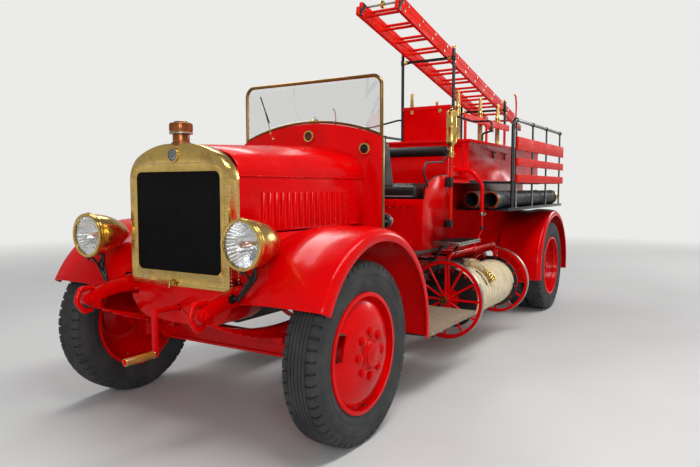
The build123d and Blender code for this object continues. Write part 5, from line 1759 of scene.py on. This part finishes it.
@dataclass
class Racks:
    """Ribbed suction hoses, their brass ends, and bolts, studs and hook of the racks."""

    hose_rows: Flat = (0.850, 0.685)
    hose_z: float = 1.2553
    hose_r: float = 0.075
    front: float = 0.030
    rear: float = -2.060
    rib: float = 26 * MM
    post_x: tuple[float, ...] = (-0.370, -0.905, -1.420, -2.000)
    plank_z: tuple[float, ...] = (1.439, 1.586, 1.750)
    plank_y: float = 0.9703
    post_y: float = 0.950
    rail: Flat = (0.945, 1.955)

    def build(self) -> None:
        """Makes the hoses and the racks' fittings."""
        hoses = Form()
        for y in self.hose_rows:
            hoses.turned((0, y, self.hose_z), AHEAD, self.hose_outline(), 40, 0)
            self.ends(hoses, y)
        hoses.both_sides().piece(
            "ribbed_hoses", "chassis", [HOSE_RUBBER, COPPER, BRASS, FIN_AND_SHADE_BLACK], "black_rubber",
            ["suction_hoses"],
        )
        form, (y, z_rail) = Form(), self.rail
        for x in self.post_x:
            for z in self.plank_z:
                for lift in (-0.020, 0.020):
                    form.rivet((x, self.plank_y, z + lift), ACROSS, 7 * MM)
            for low, high, count in ((1.220, 1.350, 3), (1.850, 1.900, 2)):
                line = spaced((x, self.post_y, low), (x, self.post_y, high), count)
                form.rivets(line, ACROSS, 6 * MM, 2)
            form.hoop((0, y, z_rail), AHEAD, 0.0, 0.020, x - 0.022, x + 0.022, 4 * MM, 24, 1)
            form.nut((x, 0.900, 1.4115), UP, 0.018, 0.008, 1)
        hook = [(-0.340, y, 1.970), (-0.348, y, 2.080), (-0.330, y, 2.150), (-0.300, y, 2.165)]
        form.pipe(hook, 7 * MM, 0.05, 12, 0)
        form.ball((-0.299, y, 2.166), (0.010, 0.010, 0.010), 2, 16)
        form.block((-2.070, 0.959, 1.156), (-0.120, 0.9635, 1.182), 1.5 * MM, 1)
        form.both_sides().piece("rack_fittings", "chassis", [RED_ENAMEL, BLACK_IRON, BRASS], "black_iron")

    def hose_outline(self) -> list[Flat]:
        """Radius and place along the hose: its ribs, and the bore at the front.

        Returns:
            The outline, closed on the axis at both ends.
        """
        peak, valley = self.hose_r - 0.4 * MM, self.hose_r - 4.0 * MM
        count = int((self.front - self.rear - 0.10) / self.rib)
        outline = [(0.0, self.rear), (peak, self.rear), (peak, self.rear + 0.05)]
        shape = ((valley, 0.18), (valley, 0.36), (peak, 0.56), (peak, 0.98))
        for k in range(count):
            x = self.rear + 0.05 + k * self.rib
            outline += [(radius, x + share * self.rib) for radius, share in shape]
        bore, mouth, floor = self.hose_r - 0.013, self.front - 0.003, self.front - 0.30
        return outline + [(peak, mouth), (bore, mouth), (bore, floor), (0.0, floor)]

    def ends(self, form: Form, y: float) -> None:
        """Mouth ring at the front, a black disc of painted shade deep in the bore, and brass coupling with
        lugs at the rear.

        Args:
            form: takes them.
            y: the hose's place across.
        """
        at = (0, y, self.hose_z)
        form.hoop(at, AHEAD, 0.0600, 0.0752, self.front - 0.014, self.front, 4 * MM, 48, 1)
        # A black disc deep in the bore: painted shade
        form.hoop(at, AHEAD, 0.0, 0.0605, self.front - 0.290, self.front - 0.280, 1 * MM, 32, 3)
        form.hoop(at, AHEAD, 0.0, 0.0765, self.rear + 0.002, self.rear + 0.060, 5 * MM, 48, 2)
        form.hoop(at, AHEAD, 0.0, 0.0650, self.rear - 0.040, self.rear + 0.004, 4 * MM, 48, 2)
        middle = Vector((self.rear + 0.030, y, self.hose_z))
        for lug in ring_of(middle, AHEAD, 0.0725, 4, pi / 4):
            way = (lug - middle).normalized()
            form.bar(lug, lug + way * 0.006, 0.009, 16, 1 * MM, 2)


@dataclass
class BranchPipes:
    """Six brass branch pipes standing on the box: cord-bound body, ringed bulge and bright tip."""

    places: tuple[float, ...] = (-0.725, -1.360, -1.940)
    y: float = 0.252
    foot: float = 1.775
    height: float = 0.545
    binding: Flat = (0.12, 0.30)
    cord: float = 7 * MM

    def build(self) -> None:
        """Makes the pipes."""
        form, h = Form(), self.height
        outline = [
            (0.0, 0.0), (0.032, 0.0), (0.033, 0.004), (0.033, 0.020), (0.031, 0.026), (0.031, 0.052),
            (0.033, 0.056), (0.033, 0.062), (0.027, 0.068), (0.024, 0.076), (0.0215, 0.36), (0.022, 0.366),
            (0.0265, 0.374), (0.0265, 0.388), (0.022, 0.396), (0.020, 0.402), (0.014, h - 0.030),
            (0.0135, h - 0.026), (0.0165, h - 0.022), (0.0165, h - 0.003), (0.0145, h), (0.008, h),
            (0.007, h - 0.03), (0.0, h - 0.03),
        ]
        y, z, (low, high) = self.y, self.foot, self.binding
        for x in self.places:
            form.turned((x, y, z), UP, outline, 32)
            for k in range(int((high - low) / self.cord)):
                start = low + k * self.cord
                form.hoop((x, y, z), UP, 0.0, 0.0262, start, start + self.cord, 3.2 * MM, 20, 1)
            form.hoop((x, y, z), UP, 0.0, 0.0170, h - 0.10, h - 0.096, 1.5 * MM, 24, 2)
            form.block((x - 0.030, y - 0.045, z), (x + 0.030, y + 0.045, z + 0.006), 2 * MM, 3)
        form.both_sides().piece(
            "brass_branch_pipes", "chassis", [BRASS, ROPE, STEEL, RED_ENAMEL], "brass", ["branch_pipes"]
        )


@dataclass
class Ladders:
    """Rung nuts, iron shoes and sheaves of the two ladders, and collars of their stands."""

    slope: float = radians(11.5)
    reference: Flat = (-0.620, 2.600)
    half: float = 0.200
    pitch: float = 0.285
    stands: tuple[Flat, Flat] = ((-0.550, 2.715), (-2.150, 2.395))
    stand_y: float = 0.272

    def line(self, x: float) -> float:
        """Height of the ladders' underside line at x."""
        return self.reference[1] + (x - self.reference[0]) * tan(self.slope)

    def at(self, x: float, up: float, y: float) -> Point:
        """A point this far above the ladders' underside line at x."""
        return (x - sin(self.slope) * up, y, self.line(x) + cos(self.slope) * up)

    def ladder(self, front: float, rear: float, lift: float, height: float, first: float) -> Form:
        """Fittings of one ladder's left rail, then both.

        Args:
            front: x of its head.
            rear: x of its foot.
            lift: its underside above the line.
            height: the rail's depth.
            first: distance of the first rung from the head.

        Returns:
            The form.
        """
        form = Form()
        middle = lift + height / 2
        length = (front - rear) / cos(self.slope)
        for k in range(int((length - 2 * first) / self.pitch) + 1):
            x = front - (first + k * self.pitch) * cos(self.slope)
            inner, outer = self.at(x, middle, self.half - 0.002), self.at(x, middle, self.half + 0.004)
            form.bar(inner, outer, 0.014, 12, 2 * MM, 1)
        for x in (front - 0.012, rear + 0.060):
            ends = [Vector(self.at(along, middle, self.half - 0.015)) for along in (x, x - 0.050)]
            turn = Matrix.Translation(ends[0].lerp(ends[1], 0.5)) @ Matrix.Rotation(-self.slope, 4, "Y")
            form.block(
                (-0.026, -0.0165, 0.003 - height / 2), (0.026, 0.0165, 0.001 + height / 2), 2 * MM, 0, turn
            )
        return form.both_sides()

    def build(self) -> None:
        """Makes the fittings of both ladders and of the stands."""
        finishes = [BLACK_IRON, STEEL, BRASS, ROPE]
        base = self.ladder(0.490, -3.065, 0.0003, 0.072, 0.130)
        for y in (-0.150, 0.150):
            wheel = self.at(-2.960, 0.036, y)
            base.hoop((wheel[0], 0, wheel[2]), ACROSS, 0.012, 0.034, y - 0.012, y + 0.012, 4 * MM, 32, 2)
        base.piece("ladder_base_irons", "ladder_carriage", finishes, "black_iron")
        fly = self.ladder(0.450, -2.805, 0.0726, 0.058, 0.150)
        fly.bar(self.at(0.400, 0.1016, -0.168), self.at(0.400, 0.1016, 0.168), 0.009, 16, 0.0, 1)
        head = self.at(0.400, 0.1016, 0.0)
        fly.hoop((head[0], 0, head[2]), ACROSS, 0.008, 0.032, -0.012, 0.012, 4 * MM, 32, 2)
        fly.piece("ladder_fly_irons", "ladder_upper", finishes, "black_iron")
        stands = Form()
        for x, top in self.stands:
            z, y = self.line(x) - 0.0133, self.stand_y
            stands.hoop((x, 0, z), ACROSS, 0.0, 0.019, 0.212, 0.252, 3 * MM, 24, 2)
            stands.hoop((x, y, 0), UP, 0.0, 0.0175, top - 0.030, top, 5 * MM, 24, 2)
            stands.hoop((x, y, 0), UP, 0.0, 0.020, z - 0.024, z + 0.024, 4 * MM, 24, 0)
            for off in (0.028, -0.028):
                stands.nut((x + off, y, 1.785), UP, 0.016, 0.008, 1)
        stands.both_sides().piece("ladder_stand_fittings", "chassis", finishes, "black_iron")


# Under the body


@dataclass
class Reels:
    """Slung reels: steel tyres, hub caps, black flange covers, wound canvas hose with its strapped end."""

    y: float = 0.715
    z: float = 0.490
    wheels: Flat = (0.650, -0.570)
    flanges: tuple[Flat, Flat] = ((0.5577, 0.5704), (-0.4904, -0.4777))
    flange_r: float = 0.2325
    wound: Flat = (-0.470, 0.550)
    hose_r: float = 0.205
    turns: int = 14
    hanger_top: float = 0.838
    davit: Flat = (0.060, 0.790)

    def build(self) -> None:
        """Makes both reels' fittings and hose."""
        form = Form()
        axis = (0, self.y, self.z)
        for x in self.wheels:
            form.hoop(axis, AHEAD, 0.3035, 0.3085, x - 0.0185, x + 0.0185, 1.5 * MM, 96, 1)
            form.hoop(axis, AHEAD, 0.2775, 0.2805, x - 0.0190, x + 0.0190, 1 * MM, 72)
            outward = 1 if x > 0 else -1
            ends = sorted((x + outward * 0.026, x + outward * 0.052))
            form.hoop(axis, AHEAD, 0.0, 0.036, *ends, 8 * MM, 32, 2)
            ends = sorted((x + outward * 0.020, x + outward * 0.031))
            form.hoop(axis, AHEAD, 0.036, 0.0445, *ends, 3 * MM, 32)
        for low, high in self.flanges:
            for face, way in ((low, -1), (high, 1)):
                ends = sorted((face, face + way * 0.003))
                form.hoop(axis, AHEAD, 0.080, self.flange_r, *ends, 1 * MM, 72, 3)
                for bolt in ring_of((face + way * 0.002, self.y, self.z), AHEAD, 0.216, 12, 0.13):
                    form.rivet(bolt, (way, 0, 0), 10 * MM)
        form.pair("reel_@_fittings", "hose_reel_@", [RED_ENAMEL, STEEL, COPPER, BLACK_IRON], "red_paint")
        self.winding().pair(
            "wound_hose_@", "hose_reel_@", [CANVAS, BLACK_IRON, BRASS, STEEL], "canvas", ["reel_hose_@"]
        )
        self.hanger().both_sides().piece(
            "reel_hanger_fittings", "chassis", [RED_ENAMEL, STEEL, BLACK_IRON], "red_paint"
        )

    def winding(self) -> Form:
        """Flat canvas hose in close turns, its end folded, strapped and ending in a brass coupling.

        Returns:
            The form of the left reel's hose.
        """
        form = Form()
        low, high = self.wound
        pitch = (high - low) / (self.turns + 1)
        per_turn, half = 56, pitch * 0.49

        def make(own: Mesh) -> None:
            """Draws the flat hose's section and winds it round the core."""
            thick, radius = 6 * MM, self.hose_r - 7 * MM
            outline = [
                (-half, 0.0), (-half * 0.86, thick), (-half * 0.4, thick * 1.1), (half * 0.4, thick * 1.1),
                (half * 0.86, thick), (half, 0.0), (half * 0.86, -thick), (-half * 0.86, -thick),
            ]
            verts = [own.verts.new((low + pitch / 2 + u, self.y + radius + v, self.z)) for u, v in outline]
            edges = [own.edges.new(p) for p in zip(verts, verts[1:] + verts[:1])]
            own.faces.new(verts)
            last = bmesh.ops.spin(
                own, geom=verts + edges, cent=(0, self.y, self.z), axis=AHEAD, dvec=(pitch / per_turn, 0, 0),
                angle=2 * pi * self.turns, steps=self.turns * per_turn, use_merge=False,
            )["geom_last"]
            own.faces.new([v for v in last if isinstance(v, bmesh.types.BMVert)])

        form.joined(make, 0)
        form.hoop((0, self.y, self.z), AHEAD, 0.088, self.hose_r - 9 * MM, low, high, 3 * MM, 64)
        self.tongue(form)
        return form

    def around(self, degrees_up: float, radius: float, x: float) -> Point:
        """A point round the roll, its angle taken from straight outwards."""
        turn = radians(degrees_up)
        return (x, self.y + radius * cos(turn), self.z + radius * sin(turn))

    def lap(self, start: float, end: float, radius: float, x: float, sway: float = 0.0) -> list[Point]:
        """Points round the roll between two angles, swaying along it."""
        return [self.around(start + (end - start) * k / 8, radius, x + sway * sin(k)) for k in range(9)]

    def tongue(self, form: Form) -> None:
        """The hose's free end, folded on the roll under its straps.

        Args:
            form: the winding.
        """
        skin = self.hose_r
        for x, start, end, lift in ((0.165, 96, 52, 0.016), (0.150, 86, 44, 0.030), (0.135, 98, 66, 0.042)):
            form.pipe(self.lap(start, end, skin + lift, x, 0.010), 0.030, 0.0, 20, 0, 0.36)
        a, b = Vector(self.around(52, skin + 0.026, 0.150)), Vector(self.around(24, skin + 0.030, 0.150))
        for share, radius in ((0.0, 0.030), (0.22, 0.034), (0.44, 0.029), (0.66, 0.036), (0.84, 0.031)):
            start, end = a.lerp(b, share), a.lerp(b, share + 0.16)
            form.bar(start, end, radius, 24, 3 * MM, 2)
        for lug in (-1, 1):
            middle = a.lerp(b, 0.74)
            form.bar(middle, middle + Vector((lug * 0.046, 0, 0)), 0.007, 12, 1 * MM, 2)
        for x, start, end in ((0.245, 62, 20), (0.060, 60, 24)):
            form.pipe(self.lap(start, end, skin + 0.003, x), 0.013, 0.0, 8, 1, 0.25)
            turn = Matrix.Rotation(radians(-50), 4, "X")
            place = Matrix.Translation(self.around(40, skin + 0.008, x)) @ turn
            form.block((-0.018, -0.012, -0.003), (0.018, 0.012, 0.003), 1 * MM, 3, place)

    def hanger(self) -> Form:
        """Clamps, bolts and links of the left hanger.

        Returns:
            The form that holds them.
        """
        form, top, (x_davit, y_davit) = Form(), self.hanger_top, self.davit
        for x in (0.480, 0.060, -0.400):
            form.hoop((0, self.y, top), AHEAD, 0.0, 0.022, x - 0.020, x + 0.020, 4 * MM, 24)
            form.nut((x, self.y + 0.020, top), ACROSS, 0.018, 0.008, 1)
        for x, way in ((0.612, 1), (-0.532, -1)):
            form.hoop((x, self.y, self.z), (way, 0, 0), 0.020, 0.030, -0.001, 0.008, 2 * MM, 24, 1)
        form.hoop((x_davit, y_davit, 0), UP, 0.0, 0.021, 1.120, 1.150, 4 * MM, 24, 1)
        form.nut((x_davit, y_davit + 0.021, 1.135), ACROSS, 0.022, 0.010, 1)
        form.hoop((x_davit, y_davit, 0), UP, 0.0, 0.013, 1.000, 1.030, 3 * MM, 20, 2)
        return form


@dataclass
class Exhaust:
    """Manifold, pipe and silencer down the engine's left side, strapped under the body."""

    y: float = 0.285
    level: float = 0.612
    port: float = 1.060
    manifold: Flat = (1.860, 2.420)
    ports_x: tuple[float, ...] = (1.960, 2.130, 2.300)
    silencer: Flat = (-0.660, -0.060)
    floor: float = 0.722

    def build(self) -> None:
        """Makes the exhaust in one piece."""
        form, (rear, front) = Form(), self.silencer
        start, end = self.manifold
        form.bar((start, self.y, self.port), (end, self.y, self.port), 0.034, 20, 5 * MM)
        for x in self.ports_x:
            form.bar((x, 0.210, self.port), (x, self.y, self.port), 0.024, 16)
        run = [(1.900, self.y, self.port), (1.900, self.y, self.level), (front - 0.010, self.y, self.level)]
        form.pipe(run, 0.024, 0.13, 16)
        form.bar((rear, self.y, self.level), (front, self.y, self.level), 0.072, 32, 6 * MM)
        form.bar((rear - 0.420, self.y, self.level), (rear + 0.010, self.y, self.level), 0.020, 16, 2 * MM)
        for x in (rear + 0.05, front - 0.05):
            form.hoop((0, self.y, self.level), AHEAD, 0.070, 0.0745, x - 0.012, x + 0.012, 2 * MM, 32, 1)
            form.bar((x, self.y, self.level + 0.070), (x, self.y, self.floor), 0.008, 12, 0.0, 1)
        form.piece("exhaust", "chassis", [CAST_IRON, BLACK_IRON], "cast_iron")


@dataclass
class Steps:
    """Raised pattern of the upper treads, their edges pierced with holes drawn as black discs of painted
    shade, and the slats' screws with a black sheet of painted shade under the slats.
    """

    x: Flat = (0.290, 0.730)
    y: Flat = (0.626, 0.860)
    top: float = 0.945
    rows: int = 9
    columns: int = 17
    slats: int = 18
    first_slat: float = 0.773
    slat_pitch: float = 0.0444
    slat_top: float = 0.450

    def build(self) -> None:
        """Makes the steps' fittings on both sides."""
        form = Form()
        (x0, x1), (y0, y1) = self.x, self.y
        for row in range(self.rows):
            for column in range(self.columns):
                at = (x0 + 0.022 + column * 0.0248, y0 + 0.020 + row * 0.0245, self.top)
                turn = pi / 4 if (row + column) % 2 else -pi / 4
                place = Matrix.Translation(at) @ Matrix.Rotation(turn, 4, "Z")
                form.block((-0.0095, -0.0022, -0.001), (0.0095, 0.0022, 0.0016), 0.0, 0, place)
        form.block((x0, y1, self.top - 0.026), (x1 + 0.002, y1 + 0.0025, self.top + 0.002), 1 * MM, 1)
        form.block((x1, y0, self.top - 0.026), (x1 + 0.0025, y1, self.top + 0.002), 1 * MM, 1)
        z, y_out, x_out = self.top - 0.012, y1 + 0.0026, x1 + 0.0026
        side = spaced((x0 + 0.016, y_out, z), (x1 - 0.014, y_out, z), 20)
        front = spaced((x_out, y0 + 0.014, z), (x_out, y1 - 0.014, z), 11)
        # Black discs flush on the edges stand for the holes: painted shade
        for painted_hole_discs, out in ((side, Vector(ACROSS)), (front, Vector(AHEAD))):
            for at in painted_hole_discs:
                form.bar(at - out * 0.001, at + out * 0.0004, 0.0055, 12, 0.0, 2)
        for k in range(self.slats):
            x = self.first_slat + k * self.slat_pitch
            for across in (0.640, 0.800, 0.960):
                form.rivet((x, across, self.slat_top), UP, 4 * MM, 1)
        # A black sheet just under the slats darkens their gaps: painted shade
        form.block((0.762, 0.604, 0.4285), (1.558, 0.996, 0.4315), 0.5 * MM, 2)
        form.both_sides().piece("step_fittings", "chassis", [BLACK_IRON, STEEL, FIN_AND_SHADE_BLACK], "black_iron")


@dataclass
class Studio:
    """Plain pale floor, soft light and the camera at the photograph's place."""

    camera_at: Point = (5.0754, 2.5638, 1.3575)
    camera_way: Point = (-0.84943, -0.52243, -0.07437)
    lens_mm: float = 31.59
    floor_half: float = 60.0
    pale: str = "#EBEBE9"
    ceiling: str = "#6E7176"
    soft_light: float = 0.42
    mirrored: float = 0.55
    fade: Flat = (4.5, 13.0)

    def build(self) -> None:
        """Sets the camera, world, floor and lamps."""
        self.place_camera()
        self.light_world()
        self.lay_floor()
        self.hang_lamps()
        bpy.context.scene.view_settings.view_transform = "Standard"

    def place_camera(self) -> None:
        """The camera as the photograph was taken: 36 mm wide sensor, no shift."""
        data = bpy.data.cameras.new("camera")
        data.lens, data.sensor_width, data.clip_end = self.lens_mm, 36.0, 200.0
        camera = bpy.data.objects.new("camera", data)
        camera.location = self.camera_at
        camera.rotation_euler = Vector(self.camera_way).to_track_quat("-Z", "Y").to_euler()
        bpy.context.scene.collection.objects.link(camera)
        bpy.context.scene.camera = camera

    def light_world(self) -> None:
        """A pale room: white behind the object and in reflections near the horizon, softer as light."""
        world = bpy.data.worlds.new("pale_room")
        bpy.context.scene.world = world
        world.use_nodes = True
        tree = world.node_tree
        tree.nodes.clear()
        seen, glossy = self.seen_rays(tree)
        way = add_node(tree, "ShaderNodeTexCoord").outputs["Generated"]
        height = add_node(tree, "ShaderNodeSeparateXYZ", {0: way}).outputs["Z"]
        up = add_node(tree, "ShaderNodeMapRange", {"Value": height, "From Min": 0.32, "From Max": 0.9})
        room = add_node(
            tree, "ShaderNodeMix",
            {"Factor": up.outputs["Result"], "A": linear(self.pale), "B": linear(self.ceiling)},
            data_type="RGBA",
        )
        lit = add_node(
            tree, "ShaderNodeBackground", {"Color": linear("#F4F6FA"), "Strength": self.soft_light}
        )
        dim = add_node(tree, "ShaderNodeMapRange", {"Value": glossy, "To Min": 1.0, "To Max": self.mirrored})
        shown = add_node(
            tree, "ShaderNodeBackground", {"Color": room.outputs["Result"], "Strength": dim.outputs["Result"]}
        )
        sky = {0: seen, 1: lit.outputs["Background"], 2: shown.outputs["Background"]}
        mixed = add_node(tree, "ShaderNodeMixShader", sky)
        add_node(tree, "ShaderNodeOutputWorld", {"Surface": mixed.outputs["Shader"]})

    def seen_rays(self, tree: Tree) -> tuple[Socket, Socket]:
        """Tells the rays that show a surface from those that light it.

        Args:
            tree: the node tree that takes the test.

        Returns:
            1 for a ray from the camera, through glass or off a gloss, and 1 for one off a gloss.
        """
        ray = add_node(tree, "ShaderNodeLightPath")
        seen = ray.outputs["Is Camera Ray"]
        for kind in ("Is Transmission Ray", "Is Glossy Ray"):
            either = add_node(tree, "ShaderNodeMath", {0: seen, 1: ray.outputs[kind]}, operation="MAXIMUM")
            seen = either.outputs["Value"]
        return seen, ray.outputs["Is Glossy Ray"]

    def lay_floor(self) -> None:
        """A wide pale floor with a fine matt grain."""
        own = bmesh.new()
        bmesh.ops.create_grid(own, x_segments=1, y_segments=1, size=self.floor_half)
        mesh = bpy.data.meshes.new("studio_floor")
        own.to_mesh(mesh)
        own.free()
        paper = Finish(
            "pale_studio_floor", "#CFCFCD", "#C9C9C7", (0.6, 0.7), mottle_mm=900.0, grain_mm=8.0, specular=0.2
        )
        mesh.materials.append(self.blend_to_room(paper.material()))
        floor = bpy.data.objects.new("studio_floor", mesh)
        bpy.context.scene.collection.objects.link(floor)

    def blend_to_room(self, paper: bpy.types.Material) -> bpy.types.Material:
        """Lets the floor turn to the room's pale colour with distance, so that no horizon shows.

        Args:
            paper: the floor's material.

        Returns:
            The same material.
        """
        tree = paper.node_tree
        seen = self.seen_rays(tree)[0]
        where = add_node(tree, "ShaderNodeTexCoord").outputs["Object"]
        away = add_node(tree, "ShaderNodeVectorMath", {0: where}, operation="LENGTH")
        near, end = self.fade
        far = add_node(
            tree, "ShaderNodeMapRange", {"Value": away.outputs["Value"], "From Min": near, "From Max": end}
        )
        share = add_node(tree, "ShaderNodeMath", {0: far.outputs["Result"], 1: seen}, operation="MULTIPLY")
        glow = add_node(tree, "ShaderNodeEmission", {"Color": linear(self.pale), "Strength": 1.0})
        shader = tree.nodes["Principled BSDF"]
        mixed = add_node(
            tree, "ShaderNodeMixShader",
            {0: share.outputs["Value"], 1: shader.outputs["BSDF"], 2: glow.outputs["Emission"]},
        )
        tree.links.new(mixed.outputs["Shader"], tree.nodes["Material Output"].inputs["Surface"])
        return paper

    def hang_lamps(self) -> None:
        """Long soft boxes overhead and a broad one from the front left."""
        for name, at, aim, size, watts in (
            ("roof_box_left", (1.5, 3.0, 6.0), (0.8, 0.3, 0.8), (6.0, 1.2), 260.0),
            ("roof_box_right", (0.0, -3.2, 6.0), (0.0, -0.2, 0.8), (6.0, 1.2), 170.0),
            ("front_box", (8.5, 5.0, 3.4), (1.0, 0.2, 0.9), (3.0, 2.2), 210.0),
            ("rear_box", (-8.0, 3.5, 3.6), (-1.0, 0.0, 1.0), (3.0, 2.0), 130.0),
        ):
            data = bpy.data.lights.new(name, "AREA")
            data.shape, data.size, data.size_y, data.energy = "RECTANGLE", size[0], size[1], watts
            lamp = bpy.data.objects.new(name, data)
            lamp.location = at
            lamp.rotation_euler = (Vector(aim) - Vector(at)).to_track_quat("-Z", "Y").to_euler()
            bpy.context.scene.collection.objects.link(lamp)


def main() -> None:
    """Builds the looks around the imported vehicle, in order."""
    logging.basicConfig(level=logging.INFO, format="%(name)s %(message)s")
    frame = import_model()
    Studio().build()
    CarriedNodes(frame["nodes"]).dress()
    parts = (
        RoadWheels(), Radiator(), Bonnet(), Screen(), Headlamps(), Guards(), Torches(), FrontEnd(),
        Upholstery(), CabFittings(), BodyTrim(), Racks(), BranchPipes(), Ladders(), Reels(), Exhaust(),
        Steps(),
    )
    for part in parts:
        part.build()


if __name__ == "__main__":
    main()
